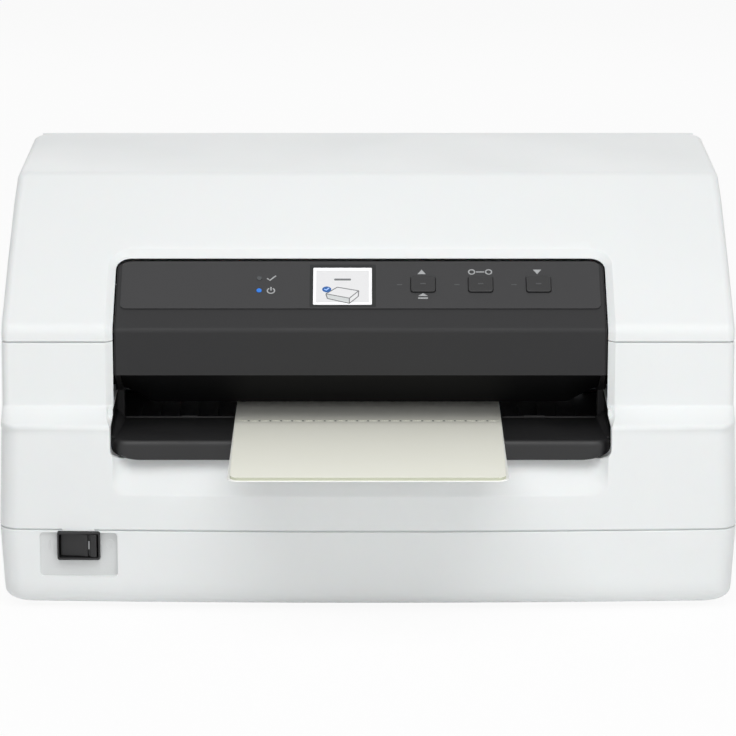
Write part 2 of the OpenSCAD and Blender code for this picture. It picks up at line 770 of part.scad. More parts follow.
module motor_pulley() color(nylon) {
    translate([-pulley_x, belt_y, belt_z - 1.5]) pulley(2);
    post([-pulley_x, belt_y, bracket_z - 15], 27, 2.5);
}

module tensioner_bracket() color(steel) {
    block([130, belt_y - 18, bracket_z], [frame_x, belt_y + 18, bracket_z + 2]);
    post([pulley_x, belt_y, bracket_z + 2 - eps], belt_w + 5.5, 2.5);
}

module idler_pulley() color(nylon) translate([pulley_x, belt_y, belt_z - 1.5]) pulley(2.5 + running_fit);

module belt_loop(r) union() {
    square([2 * pulley_x, 2 * r], center = true);
    for (x = [-pulley_x, pulley_x]) translate([x, 0]) circle(r = r, $fn = 64);
}

module carriage_belt() color(rubber) translate([0, belt_y, belt_z]) linear_extrude(belt_w) difference() {
    belt_loop(belt_r + belt_t);
    belt_loop(belt_r);
}

module ribbon_cartridge() color(black) difference() {
    union() {
        block([-cartridge_half, cartridge_y[0], cartridge_z],
            [cartridge_half, cartridge_y[1], cartridge_z + cartridge_h]);
        for (side = [-1, 1]) translate([side * (ribbon_half + 10), 0, 0])
            along_x(-10, 20) polygon([[cartridge_y[1] - 1, cartridge_z],
                [cartridge_y[1] - 1, cartridge_z + 14], [118, cartridge_z + 14], [132, 106],
                [132, ribbon_z - 0.6], [116, ribbon_z - 0.6], [108, cartridge_z]]);
    }
    post([knob_x, knob_y, cartridge_z + 4], 30, 3);
}

module ribbon() color("#141416")
    block([-ribbon_half, print_y - ribbon_w / 2, ribbon_z],
        [ribbon_half, print_y + ribbon_w / 2, ribbon_z + 0.2]);

module ribbon_knob() color(nylon) {
    translate([knob_x, knob_y, cartridge_z + cartridge_h + 0.4]) linear_extrude(7) difference() {
        circle(r = 9, $fn = 60);
        for (a = [0:30:330]) rotate(a) translate([9.6, 0]) circle(r = 1.4, $fn = 24);
    }
    post([knob_x, knob_y, cartridge_z + 5], cartridge_h - 4, 3 - running_fit);
}

// Cross section of the bent panel moulding: the lower face, the bend and the sloped face
function housing_line(d) = concat(
    [[face_setback + d, housing_foot]],
    arc(face_setback + bend_r, slope_foot - bend_r * tan(45 - face_angle / 2), bend_r - d,
        180, 90 + face_angle, 4),
    [[face_setback + (face_slope_start + housing_up) * cos(face_angle) + d * sin(face_angle),
        slope_foot + (face_slope_start + housing_up) * sin(face_angle) - d * cos(face_angle)]]);

function reversed(list) = [for (i = [len(list) - 1:-1:0]) list[i]];

module panel_openings(grow) {
    for (x = button_x) on_face() translate([x, button_s, -10]) linear_extrude(20)
        polygon(rounded(button_w + grow, button_l + grow, 1.5));
    on_face() block([lcd_left, lcd_s[0], -10], [lcd_right, lcd_s[1], 10]);
    for (s = lens_s) on_face() post([lens_x, s, -20], 40, lens_r);
}

module panel_housing() color(panel_dark) difference() {
    union() {
        along_x(notch_left + 0.6, notch_right - notch_left - 1.2)
            polygon(concat(housing_line(panel_depth), reversed(housing_line(panel_depth + housing_wall))));
        for (x = [notch_left + 0.6, notch_right - 0.6 - housing_wall])
            along_x(x, housing_wall) polygon(concat([[face_setback + panel_depth + 1, cheek_z]],
                housing_line(panel_depth + 1), [[bay_back, cheek_z]]));
        for (x = [notch_left + 0.6, notch_right - 0.6 - pillar_w])
            block([x, pillar_y[0], bay_floor], [x + pillar_w, pillar_y[1], housing_foot + 8]);
        for (x = [notch_left + 14, notch_right - 14], s = [11, 40])
            on_face() post([x, s, -board_depth], board_depth - panel_depth - 1, 3);
    }
    panel_openings(0.5);
}

module panel_plate() color(plate_dark) difference() {
    on_face() translate([(plate_left + plate_right) / 2, (plate_s[0] + plate_s[1]) / 2, -panel_depth])
        linear_extrude(plate_t) polygon(rounded(plate_right - plate_left, plate_s[1] - plate_s[0], 2));
    panel_openings(0.5);
}

module lcd_display() color("#dfe6ea") on_face() {
    block([lcd_left + 0.2, lcd_s[0] + 0.2, -10], [lcd_right - 0.2, lcd_s[1] - 0.2, -panel_depth + 0.2]);
    block([lcd_left - 3, lcd_s[0] - 3, -board_depth], [lcd_right + 3, lcd_s[1] + 3, -9]);
}

module indicator_lenses() color("#2f8fff") for (s = lens_s) on_face()
    post([lens_x, s, -board_depth + 0.001], board_depth - panel_depth + plate_t + 0.4, lens_r - 0.01);

module panel_board() color(board_green) on_face() {
    block([notch_left + 8, 6, -board_depth - 1.6], [notch_right - 8, 45, -board_depth]);
    for (x = button_x)
        block([x - 3, button_s - 3, -board_depth - eps], [x + 3, button_s + 3, -board_depth + 4.8]);
}

module button(i) color(black) on_face() translate([button_x[i], button_s, 0]) {
    translate([0, 0, -panel_depth - housing_wall - 0.1])
        linear_extrude(housing_wall + plate_t + button_stand + 0.1) polygon(rounded(button_w, button_l, 1.4));
    translate([0, 0, -panel_depth - housing_wall - 1.4]) linear_extrude(1.3 + eps)
        polygon(rounded(button_w + 1.6, button_l + 1.6, 1.4));
}

module button_left() button(0);

module button_middle() button(1);

module button_right() button(2);

// Body and bezel of the rocker switch, set in the front wall of the base
module power_switch() color(black) difference() {
    union() {
        block([switch_x - switch_w / 2, switch_y, switch_z[0]],
            [switch_x + switch_w / 2, recess_deep + 6, switch_z[1]]);
        block([switch_x - 9, switch_y + 6, switch_z[0] + 1], [switch_x + 9, 26, switch_z[1] - 1]);
    }
    block([switch_x - 9.6, switch_y - 1, switch_z[0] + 2], [switch_x + 9.6, switch_y + 9, switch_z[1] - 2]);
    post([switch_x, rocker_y, switch_z[0] + 1], switch_h - 2, rocker_pin_r + running_fit);
}

// Rocker that tips about an upright pin, with its left end pressed in
module power_rocker() color(black) translate([switch_x, rocker_y, switch_z[0]]) rotate([0, 0, -rocker_tilt]) {
    translate([0, 0, 2.3]) linear_extrude(switch_h - 4.6)
        polygon([[-8.8, -2.2], [0, -1.2], [8.8, -2.2], [8.8, 0], [3, 3], [-3, 3], [-8.8, 0]]);
    post([0, 0, 1.1], switch_h - 2.2, rocker_pin_r);
}

// A board from its low to its high x and y, on four stand-offs in its corners
module circuit_board(x, y) {
    block([x[0], y[0], board_z], [x[1], y[1], board_z + board_t]);
    for (px = [x[0] + 4, x[1] - 4], py = [y[0] + 4, y[1] - 4])
        post([px, py, frame_foot], board_z - frame_foot + eps, standoff_r);
}

module power_supply() color("#7d6a3c") {
    circuit_board(supply_x, supply_y);
    block([-156, 156, board_z + board_t - eps], [-116, 190, 56]);
    for (x = [-100, -76]) post([x, 170, board_z + board_t - eps], 30, 9);
    block([-108, 200, board_z + board_t - eps], [-70, 203, 50]);
}

module main_board() color(board_green) {
    circuit_board(main_x, main_y);
    block([20, 168, board_z + board_t - eps], [48, 196, 24]);
    block([70, 160, board_z + board_t - eps], [120, 172, 36]);
    for (i = [0:3]) block([70 + 16 * i, 186, board_z + board_t - eps], [80 + 16 * i, 196, 40]);
    for (x = [-30, -10]) post([x, 170, board_z + board_t - eps], 20, 6);
}

// A socket shell with a tongue inside, as width and height, reaching in from the back wall by depth
module socket(x, size, shell, tongue, depth) translate([x, 0, socket_z]) {
    difference() {
        block([-size[0] / 2, ports_y - depth, -size[1] / 2], [size[0] / 2, case_d + 1, size[1] / 2]);
        block([shell - size[0] / 2, ports_y - depth + 2, shell - size[1] / 2],
            [size[0] / 2 - shell, case_d + 2, size[1] / 2 - shell]);
    }
    block([-tongue[0] / 2, ports_y - depth + 1, -tongue[1] / 2],
        [tongue[0] / 2, case_d - 4.5, tongue[1] / 2]);
}

// Plate with the USB, serial and parallel sockets at the back
module rear_ports() color(steel) {
    difference() {
        block([ports_x[0], ports_y - 2, ports_z[0]], [ports_x[1], ports_y, ports_z[1]]);
        for (p = [[usb_x, 12], [serial_x, 19], [parallel_x, 66]]) translate([p[0], 0, socket_z])
            block([-p[1] / 2, case_d - 20, -6.5], [p[1] / 2, case_d + 1, 6.5]);
    }
    socket(usb_x, [12 + eps, 13 + eps], 1.2, [5.6, 3.2], 12);
    socket(serial_x, [19 + eps, 13 + eps], 1.4, [14, 4], 10);
    socket(parallel_x, [66 + eps, 13 + eps], 1.4, [58, 4], 12);
}

module mains_inlet() color(black) {
    difference() {
        block([inlet_x - inlet_w / 2, ports_y - 18, inlet_z[0]],
            [inlet_x + inlet_w / 2, case_d + 1, inlet_z[1]]);
        block([inlet_x - inlet_w / 2 + 2, ports_y - 14, inlet_z[0] + 2],
            [inlet_x + inlet_w / 2 - 2, case_d + 2, inlet_z[1] - 2]);
    }
    for (p = [[-7, -1.5], [0, 2.5], [7, -1.5]]) translate([inlet_x + p[0], 0, socket_z + p[1]])
        block([-1, ports_y - 15, -2], [1, case_d - 4.5, 2]);
}

module passbook() color("#fbf9e6") translate([0, book_l / 2 - book_out, book_z]) linear_extrude(book_t)
    polygon(rounded(book_w, book_l, 5.5, 4));

placed() base_case();
placed() middle_case();
placed() rear_cover();
placed() top_cover();
placed() hinge_pins();
placed() rubber_feet();
placed() case_screws();
placed() chassis_plate();
placed() side_frame_left();
placed() side_frame_right();
placed() frame_screws();
placed() front_tray();
placed() lower_paper_guide();
placed() rear_paper_guide();
placed() paper_slot_visor();
placed() platen_rail();
placed() platen_springs();
placed() platen();
placed() roller_bushings();
placed() front_feed_shaft();
placed() front_feed_tires();
placed() front_feed_gear();
placed() rear_feed_shaft();
placed() rear_feed_tires();
placed() rear_feed_gear();
placed() front_pinch_rollers();
placed() rear_pinch_rollers();
placed() idler_gear();
placed() feed_pinion();
placed() feed_motor();
placed() carriage_shaft();
placed() guide_rail();
placed() carriage();
placed() carriage_bushings();
placed() print_head();
placed() ribbon_mask();
placed() carriage_motor();
placed() motor_bracket();
placed() motor_pulley();
placed() tensioner_bracket();
placed() idler_pulley();
placed() carriage_belt();
placed() ribbon_cartridge();
placed() ribbon();
placed() ribbon_knob();
placed() panel_housing();
placed() panel_plate();
placed() lcd_display();
placed() indicator_lenses();
placed() panel_board();
placed() button_left();
placed() button_middle();
placed() button_right();
placed() power_switch();
placed() power_rocker();
placed() power_supply();
placed() main_board();
placed() mains_inlet();
placed() rear_ports();
placed() passbook();
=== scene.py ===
import math

import bmesh
import bpy
import numpy as np
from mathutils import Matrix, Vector


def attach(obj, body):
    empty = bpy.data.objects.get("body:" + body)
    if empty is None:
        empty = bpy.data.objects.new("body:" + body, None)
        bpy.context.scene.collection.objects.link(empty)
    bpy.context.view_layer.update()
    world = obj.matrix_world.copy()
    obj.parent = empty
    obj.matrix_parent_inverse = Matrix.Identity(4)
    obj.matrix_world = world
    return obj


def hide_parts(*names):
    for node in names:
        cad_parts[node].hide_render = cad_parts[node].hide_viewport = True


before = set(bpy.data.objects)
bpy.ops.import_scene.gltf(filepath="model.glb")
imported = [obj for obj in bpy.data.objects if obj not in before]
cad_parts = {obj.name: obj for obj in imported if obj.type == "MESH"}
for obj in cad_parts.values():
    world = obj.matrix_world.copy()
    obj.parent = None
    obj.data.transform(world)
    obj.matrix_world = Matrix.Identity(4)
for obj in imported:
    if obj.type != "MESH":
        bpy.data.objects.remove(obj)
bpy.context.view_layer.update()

# ---------------------------------------------------------------------------------------------------
# Base case
# The tub that all else is screwed to, moulded in white ABS with a fine spark-eroded texture. Its front
# bows out a little, its foot is rolled under, and a shallow recess at the left holds the mains switch.
plan_shift = -83.25
case_height, wall = 213.7, 3.0
base_seam, cover_seam, seam_gap = 44.0, 142.0, 0.42
slope_degrees, shelf_degrees = 33.5, 23.3
slope, shelf_slope = math.radians(slope_degrees), math.radians(shelf_degrees)
upper_front, shelf_top, slope_corner = 17.0, 107.5, 149.9
crest_y = upper_front + (case_height - slope_corner) / math.tan(slope)
lip_radius, root_radius, bend_radius, crest_radius = 4, 1.6, 7.0, 11.0
bend_foot = slope_corner - bend_radius * math.tan(math.pi / 4 - slope / 2)
root_z = shelf_top + root_radius / math.cos(shelf_slope) - root_radius * math.tan(shelf_slope)
front_bow, bow_end, bow_fade, flat_half, straight_half = 4.5, 97, 9, 183.1, 145
bow_radius = (flat_half ** 2 + front_bow ** 2) / (2 * front_bow)
foot_top, foot_rise, foot_run = 16, 13.2, 8
lean_start, lean_fade, lean_end = 146.5, 9, 6
foot_corner, crown_corner = (185.2, 9.8, 7), (185.9, 209.7, 4)
rear_foot, rear_crown = (234, 10.8, 8), (227, 198.7, 15)
front_corner, upper_corner, rear_corner = 11, 4.2, 14
notch_left, notch_right = -133.6, 125.6


def arc(cx, cy, radius, start, end, steps, squeeze=1.0):
    """Points on an arc, from one angle in degrees to another."""
    turn = [math.radians(start + (end - start) * i / steps) for i in range(steps + 1)]
    return [(cx + radius * math.cos(a), cy + radius * squeeze * math.sin(a)) for a in turn]


def front_line(inset):
    """How far back the front stands at each height, as pairs of y and z from the foot to the flat top."""
    foot = [(foot_run + (foot_run - inset) * math.cos(math.radians(a)),
             foot_top + (foot_rise - inset) * math.sin(math.radians(a))) for a in range(270, 179, -9)]
    shelf_foot = shelf_top - upper_front * math.tan(shelf_slope)
    lip = arc(lip_radius, shelf_foot - lip_radius * math.tan(math.pi / 4 - shelf_slope / 2),
              max(lip_radius - inset, 0.5), 180, 90 + shelf_degrees, 6)
    root = arc(upper_front - root_radius, root_z, root_radius + inset, shelf_degrees - 90, 0, 5)
    bend = arc(upper_front + bend_radius, bend_foot, bend_radius - inset, 180, 90 + slope_degrees, 8)
    crest = arc(crest_y + crest_radius * math.tan(slope / 2), case_height - crest_radius,
                crest_radius - inset, 90 + slope_degrees, 90, 6)
    return foot + lip + root + bend + crest


def side_line(inset):
    """Half the width at each height, as pairs of x and z: widest at the seam of the base."""
    sides = [(194.1, 44), (192.4, 98), (192.1, 107.5), (191.85, 142), (191.8, 149.9), (191.7, 160),
             (191.5, 173), (191.1, 186), (190.7, 200)]
    x, z, radius = foot_corner
    foot = arc(x, z, radius - inset, -90, 0, 8)
    x, z, radius = crown_corner
    return foot + [(x - inset, z) for x, z in sides] + arc(x, z, max(radius - inset, 0.6), 0, 90, 6)


def back_line(inset):
    """How far back the rear wall stands at each height, as pairs of y and z."""
    return (arc(*rear_foot[:2], rear_foot[2] - inset, -90, 0, 6)
            + arc(*rear_crown[:2], rear_crown[2] - inset, 0, 90, 10))


def read_line(line, z):
    """How far a line has gone across at one height."""
    across, up = zip(*line)
    return float(np.interp(z, up, across))


def pocket(x, z):
    """The scoop under the tray, deepest at its top and run out at its foot, with rounded lower corners."""
    low, full, end, deep, fillet, corner = 63.0, 80.2, 96, 9.0, 10.0, 9.0
    if z <= low:
        return 0.0
    pull = corner * (1 - math.sqrt(max(0.0, 1 - (max(0.0, low + corner - z) / corner) ** 2)))
    u = min(1.0, max(0.0, min(x - notch_left - pull, notch_right - pull - x) / fillet))
    return deep * min(1.0, (z - low) / (full - low)) * (1 - (1 - u) ** 2) * min(1.0, max(0.0, (end - z) / 6))


def belly(x):
    """How far the bowed front falls back at a place across it."""
    return bow_radius - math.sqrt(bow_radius ** 2 - x * x)


fine = (-2, -0.4, 0.05, 0.7, 1.6, 2.7, 4.0, 5.4, 7.0, 8.6, 10.2)
front_x = sorted(set([side * x for side in (-1, 1) for x in (flat_half, 177, 170, 163, 156, 150)]
                     + [-145 + 10 * i for i in range(30)]
                     + [notch_left + d for d in fine] + [notch_right - d for d in fine]))


def case_ring(z, inset=0.0):
    """One level outline of the case, seen from above, drawn inwards by inset: bowed with wide corners at
    the foot, and straight with small corners from the shelf up."""
    half = read_line(side_line(inset), z)
    y0, y1 = read_line(front_line(inset), z), read_line(back_line(inset), z)
    blend = min(1.0, max(0.0, (z - bow_end) / bow_fade))
    radius = max(front_corner + (upper_corner - front_corner) * blend - inset, 0.8)
    lean = min(1.0, max(0.0, (z - lean_start) / lean_fade)) * min(1.0, max(0.0, (case_height - z) / lean_end))
    along = radius * (1 + lean * (1 / math.sin(slope) - 1))
    swell = belly(half - radius) * (1 - blend)
    ring = []
    for x in front_x:
        if abs(x) > straight_half:
            reach = (half - radius - straight_half) / (flat_half - straight_half)
            x = math.copysign(straight_half + (abs(x) - straight_half) * reach, x)
        ring.append((x, y0 + belly(x) * (1 - blend) + pocket(x, z), z))
    corner = arc(half - radius, 0, radius, -90, 0, 10)[1:]
    ring += [(x, y0 + swell + along + y * along / radius, z) for x, y in corner]
    rear = rear_corner - inset
    ring.append((half, (y0 + y1) / 2, z))
    ring += [(x, y, z) for x, y in arc(half - rear, y1 - rear, rear, 0, 90, 8)]
    ring += [(x, y1, z) for x in (half / 2, 0, -half / 2)]
    ring += [(x, y, z) for x, y in arc(rear - half, y1 - rear, rear, 90, 180, 8)]
    ring.append((-half, (y0 + y1) / 2, z))
    ring += [(-x, y0 + swell + along + y * along / radius, z) for x, y in reversed(corner)]
    return ring


def mesh_of(name, points, faces):
    """An object from points in millimetres and faces, moved into the frame of the CAD."""
    mesh = bpy.data.meshes.new(name)
    mesh.from_pydata([(x * 0.001, (y + plan_shift) * 0.001, z * 0.001) for x, y, z in points], [], faces)
    work = bmesh.new()
    work.from_mesh(mesh)
    bmesh.ops.remove_doubles(work, verts=work.verts, dist=2e-6)
    bmesh.ops.recalc_face_normals(work, faces=work.faces)
    work.to_mesh(mesh)
    work.free()
    made = bpy.data.objects.new(name, mesh)
    bpy.context.scene.collection.objects.link(made)
    return made


def loft(name, rings, closed=False):
    """Skins a row of closed outlines; the ends are capped, or joined to each other if closed."""
    n = len(rings[0])
    points = [p for ring in rings for p in ring]
    faces = []
    for k in range(len(rings) - (0 if closed else 1)):
        a, b = k * n, (k + 1) % len(rings) * n
        faces += [(a + i, a + (i + 1) % n, b + (i + 1) % n, b + i) for i in range(n)]
    if not closed:
        faces += [tuple(range(n)), tuple(range((len(rings) - 1) * n, len(rings) * n))]
    return mesh_of(name, points, faces)


def prism(name, outline, axis, start, end):
    """An outline carried straight along an axis: x takes pairs of y and z, y of x and z, z of x and y."""
    put = {"x": lambda a, b, c: (c, a, b), "y": lambda a, b, c: (a, c, b), "z": lambda a, b, c: (a, b, c)}
    return loft(name, [[put[axis](a, b, c) for a, b in outline] for c in (start, end)])


def rounded(x0, x1, y0, y1, radius, steps=6):
    """A rectangle with round corners, as pairs."""
    centres = ((x1 - radius, y1 - radius), (x0 + radius, y1 - radius), (x0 + radius, y0 + radius),
               (x1 - radius, y0 + radius))
    return [p for i, (x, y) in enumerate(centres) for p in arc(x, y, radius, 90 * i, 90 * i + 90, steps)]


def carve(piece, *tools):
    """Cuts the tools out of a piece and throws them away."""
    for tool in tools:
        step = piece.modifiers.new("cut", "BOOLEAN")
        step.operation, step.solver, step.object = "DIFFERENCE", "EXACT", tool
    bpy.context.view_layer.update()
    made = bpy.data.meshes.new_from_object(piece.evaluated_get(bpy.context.evaluated_depsgraph_get()))
    piece.modifiers.clear()
    piece.data = made
    for tool in tools:
        bpy.data.objects.remove(tool)


def finish_piece(piece, material, body, stands_for=(), sharp=34, edge=0.0):
    """Smooths a piece up to its sharp edges, gives it its material and lets it ride on its body."""
    piece.data.polygons.foreach_set("use_smooth", [True] * len(piece.data.polygons))
    piece.data.set_sharp_from_angle(angle=math.radians(sharp))
    if edge:
        soft = piece.modifiers.new("edge", "BEVEL")
        soft.width, soft.segments, soft.limit_method = edge * 0.001, 2, "ANGLE"
        soft.angle_limit, soft.harden_normals = math.radians(sharp), False
    piece.modifiers.new("normals", "WEIGHTED_NORMAL").keep_sharp = True
    piece.data.materials.clear()
    piece.data.materials.append(material)
    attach(piece, body)
    if stands_for:
        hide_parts(*stands_for)


def linear(code):
    """An sRGB hex colour as the linear colour that a shader takes."""
    parts = [int(code[i:i + 2], 16) / 255 for i in (1, 3, 5)]
    return [c / 12.92 if c <= 0.04045 else ((c + 0.055) / 1.055) ** 2.4 for c in parts] + [1.0]


def add(tree, kind, settings=None, links=None):
    """Adds one node, sets its properties and sockets, and links sockets of other nodes into it."""
    made = tree.nodes.new(kind)
    for key, value in (settings or {}).items():
        if isinstance(key, int) or key in made.inputs:
            made.inputs[key].default_value = value
        else:
            setattr(made, key, value)
    for key, source in (links or {}).items():
        tree.links.new(source, made.inputs[key])
    return made


def new_material(name):
    """A bare material, its node tree, and the place on the piece in metres, which its patterns follow."""
    made = bpy.data.materials.new(name)
    made.use_nodes = True
    tree = made.node_tree
    tree.nodes.clear()
    return made, tree, add(tree, "ShaderNodeTexCoord").outputs["Object"]


def surface(tree, settings, tint, gloss=None, relief=None):
    """Closes a material. Each pattern is given with its source: tint blends two colours, gloss takes the
    roughness from one value to another, and relief has a strength and a depth in metres."""
    source, pale, dark = tint
    colour = add(tree, "ShaderNodeMix", {"data_type": "RGBA", 6: linear(pale), 7: linear(dark)}, {0: source})
    links = {"Base Color": colour.outputs[2]}
    if gloss:
        source, low, high = gloss
        rough = add(tree, "ShaderNodeMapRange",
                    {"From Min": 0.3, "From Max": 0.7, "To Min": low, "To Max": high}, {"Value": source})
        links["Roughness"] = rough.outputs["Result"]
    if relief:
        source, strength, depth = relief
        bump = add(tree, "ShaderNodeBump", {"Strength": strength, "Distance": depth}, {"Height": source})
        links["Normal"] = bump.outputs["Normal"]
    skin = add(tree, "ShaderNodeBsdfPrincipled", settings, links)
    add(tree, "ShaderNodeOutputMaterial", links={"Surface": skin.outputs[0]})


# White ABS, moulded: satin, with a spark-eroded grain of about 0.3 mm and slow changes of gloss where
# the melt met. A hair of subsurface keeps its shadows from going grey.
white_abs, tree, place = new_material("white_abs_moulded")
grain = add(tree, "ShaderNodeTexNoise", {"Scale": 2600.0, "Detail": 3.0, "Roughness": 0.6},
            {"Vector": place})
flow = add(tree, "ShaderNodeTexNoise", {"Scale": 14.0, "Detail": 4.0}, {"Vector": place})
surface(tree, {"IOR": 1.53, "Subsurface Weight": 0.04, "Subsurface Scale": 0.002, "Specular IOR Level": 0.12},
        (flow.outputs["Fac"], "#edefef", "#e9ecec"), gloss=(flow.outputs["Fac"], 0.40, 0.50),
        relief=(grain.outputs["Fac"], 0.12, 0.00004))


def rings_at(levels, inset=0.0):
    """Outlines of the case at these levels, from the lowest up and none of them twice."""
    return [case_ring(z, inset) for z in sorted(set(round(z, 3) for z in levels))]


def seam_rings(seam, gap):
    """The edge of a shell at a seam: a small chamfer, then a step inwards that shows as a dark groove."""
    return [case_ring(seam + gap, 0.3), case_ring(seam + gap, 1.5), case_ring(seam, 1.5)]


foot_levels = [z for _, z in front_line(0) if z <= foot_top + 0.01]
foot_levels += [z for _, z in arc(*foot_corner, -90, 0, 8)]
outer = rings_at(foot_levels + [22, 30, 38, 42.4, base_seam - seam_gap - 0.35])
outer += seam_rings(base_seam, -seam_gap)
inner = [case_ring(z, wall) for z in (base_seam, 30, 18, 14, 10, 7.4, 6.2, 5.8)]
base = loft("base_case_shell", outer + inner)
recess_box, switch_hole = (-172.6, -131.6, 18.7, 42.6), (-163.25, -140.75, 27.9, 43.45)
recess = prism("recess", rounded(*recess_box, 2.2), "y", -5, 5.4)
doorway = prism("doorway", rounded(*switch_hole, 0.8), "y", -1, 30)
rear_tools = [prism("inlet_hole", rounded(-154, -126, 15, 35, 1), "y", 222, 244),
              prism("ports_hole", rounded(8, 164, 12, 38, 1), "y", 232, 244)]
rear_tools += [prism(f"vent_{i}", rounded(-104 + 8 * i, -101 + 8 * i, 15, 35, 1.4), "y", 237, 244)
               for i in range(12)]
carve(base, recess, doorway, *rear_tools)
finish_piece(base, white_abs, "printer", ["base_case"])

# ---------------------------------------------------------------------------------------------------
# Middle case
# The collar between base and cover, of the same white ABS. Its front steps back over a sloping shelf,
# opens for the tray, and is scooped out below it so that fingers reach the booklet.
notch_up, face_start = 46.3, 6.84
bay_left, bay_right, bay_floor = -134.8, 127.2, 81.4
bend_start = bend_radius * math.tan(math.pi / 4 - slope / 2) - face_start
bend_length = bend_radius * (math.pi / 2 - slope)
root_length = root_radius * (math.pi / 2 - shelf_slope)
bend_end = bend_start - bend_length
root_start = bend_end - (bend_foot - root_z)
root_end = root_start - root_length


def on_front(x, s, deep=0.0):
    """A point on the front of the case: s up the control face, over the bend, down and out on the shelf."""
    if s >= bend_start:
        y = upper_front + (face_start + s) * math.cos(slope) + deep * math.sin(slope)
        return x, y, slope_corner + (face_start + s) * math.sin(slope) - deep * math.cos(slope)
    if s >= bend_end:
        a = (math.pi / 2 + slope) + (bend_start - s) / bend_radius
        r = bend_radius - deep
        return x, upper_front + bend_radius + r * math.cos(a), bend_foot + r * math.sin(a)
    if s >= root_start:
        return x, upper_front + deep, bend_foot + (s - bend_end)
    if s >= root_end:
        a, r = (s - root_start) / root_radius, root_radius + deep
        return x, upper_front - root_radius + r * math.cos(a), root_z + r * math.sin(a)
    out = root_end - s
    y = upper_front - root_radius + (root_radius + deep) * math.sin(shelf_slope) - out * math.cos(shelf_slope)
    return x, y, root_z - (root_radius + deep) * math.cos(shelf_slope) - out * math.sin(shelf_slope)


def rungs(left, right, top, radius, grow, levels, top_grow=None):
    """Pairs of side points up the panel opening, rounded over at its two top corners."""
    top_grow = grow if top_grow is None else top_grow
    rx, ry = max(radius + grow, 0.2), max(radius + top_grow, 0.2)
    rows = [(left - grow, right + grow, s) for s in levels]
    for i in range(11):
        a = math.pi / 2 * i / 10
        pull = rx * (1 - math.cos(a))
        rows.append((left - grow + pull, right + grow - pull, top + top_grow - ry + ry * math.sin(a)))
    return rows


def sweep(name, layers):
    """A solid from layers of rungs, each layer (depth, rungs); layers lie one under the other."""
    points, faces = [], []
    n = len(layers[0][1])
    for deep, rows in layers:
        for left, right, s in rows:
            points += [on_front(left, s, deep), on_front(right, s, deep)]
    count = len(layers)
    for k in range(count - 1):
        a, b = 2 * n * k, 2 * n * (k + 1)
        for i in range(n - 1):
            for side in (0, 1):
                p = 2 * i + side
                faces.append((a + p, a + p + 2, b + p + 2, b + p))
        for i in (0, n - 1):
            faces.append((a + 2 * i, a + 2 * i + 1, b + 2 * i + 1, b + 2 * i))
    for k in (0, count - 1):
        a = 2 * n * k
        faces += [(a + 2 * i, a + 2 * i + 1, a + 2 * i + 3, a + 2 * i + 2) for i in range(n - 1)]
    return mesh_of(name, points, faces)


bend_levels = [bend_end + bend_length * i / 8 for i in range(9)]
root_levels = [root_end + root_length * i / 5 for i in range(6)]


def opening_tool():
    """The cutter of the panel opening, with its bevelled edge, which runs out along the shelf."""
    shelf_out = [root_end - d for d in (24, 17.5, 16.5, 15, 13, 10, 7, 3.5)]
    levels = shelf_out + root_levels + bend_levels + [5, 20, 36]
    layers, lean_length = [], 16.5
    for deep, grow in ((-0.8, 4.7), (-0.02, 3.95), (0.12, 3.68), (0.35, 3.35), (2.7, 0.28), (2.95, 0.08),
                       (3.3, 0.0), (6.0, 0.0)):
        rows = []
        for left, right, s in rungs(notch_left, notch_right, notch_up, 8.0, grow, levels, grow * 1.22):
            if s < root_end + 0.001:
                run = min(1.0, (root_end - s) / lean_length)
                spread = grow * (1 - run ** 2.2)
                left = notch_left + (bay_left - notch_left) * run - spread
                right = notch_right + (bay_right - notch_right) * run + spread
            rows.append((left, right, s))
        layers.append((deep, rows))
    return sweep("opening", layers)


def bay_outline(grow):
    """The bay seen from the front: its sides lean in under the shelf, and its lower corners are wide."""
    left, right = bay_left - grow, bay_right + grow
    corner = [(8.6 + grow) * math.cos(math.radians(a)) for a in range(180, 271, 15)]
    rise = [87.4 + (6 + grow) * math.sin(math.radians(a)) for a in range(180, 271, 15)]
    return ([(notch_left - grow, shelf_top - 0.4), (notch_left - grow, 104.4), (left, 97.8)]
            + [(bay_left + 8.6 + x, z) for x, z in zip(corner, rise)]
            + [(bay_right - 8.6 - x, z) for x, z in reversed(list(zip(corner, rise)))]
            + [(right, 97.8), (notch_right + grow, 104.4), (notch_right + grow, shelf_top - 0.4)])


levels = [base_seam + seam_gap + 0.35, 46, 52, 58, 61, 62.6, 63.2] + [64 + 1.5 * i for i in range(13)]
levels += [85, 90, 95, 97, 98.2] + [z for _, z in front_line(0) if 98.3 < z < 140]
outer = seam_rings(base_seam, seam_gap)[::-1]
outer += rings_at(levels + [112, 120, 130, 138, cover_seam - seam_gap - 0.35])
outer += seam_rings(cover_seam, -seam_gap)
inner = [case_ring(z, wall) for z in (
    cover_seam, 130, 120, 112, 109, 107, 105, 103, 101, 99, 97, 95, 90, 84, 80, 76, 72, 68, 65, 63, 60, 52,
    base_seam)]
middle = loft("middle_case_shell", outer + inner, closed=True)
carve(middle, opening_tool(), prism("bay", bay_outline(0), "y", -2, 40),
      prism("exit_slot", rounded(-122, 122, 90, 104, 2), "y", 232, 244))
finish_piece(middle, white_abs, "printer", ["middle_case"])

# The bay behind the opening is a tub of the same moulding, 2.4 mm thick.
liner = prism("bay_liner", bay_outline(2.4) + bay_outline(0)[::-1], "y", 11.5, 62)
finish_piece(liner, white_abs, "printer", ["middle_case"])

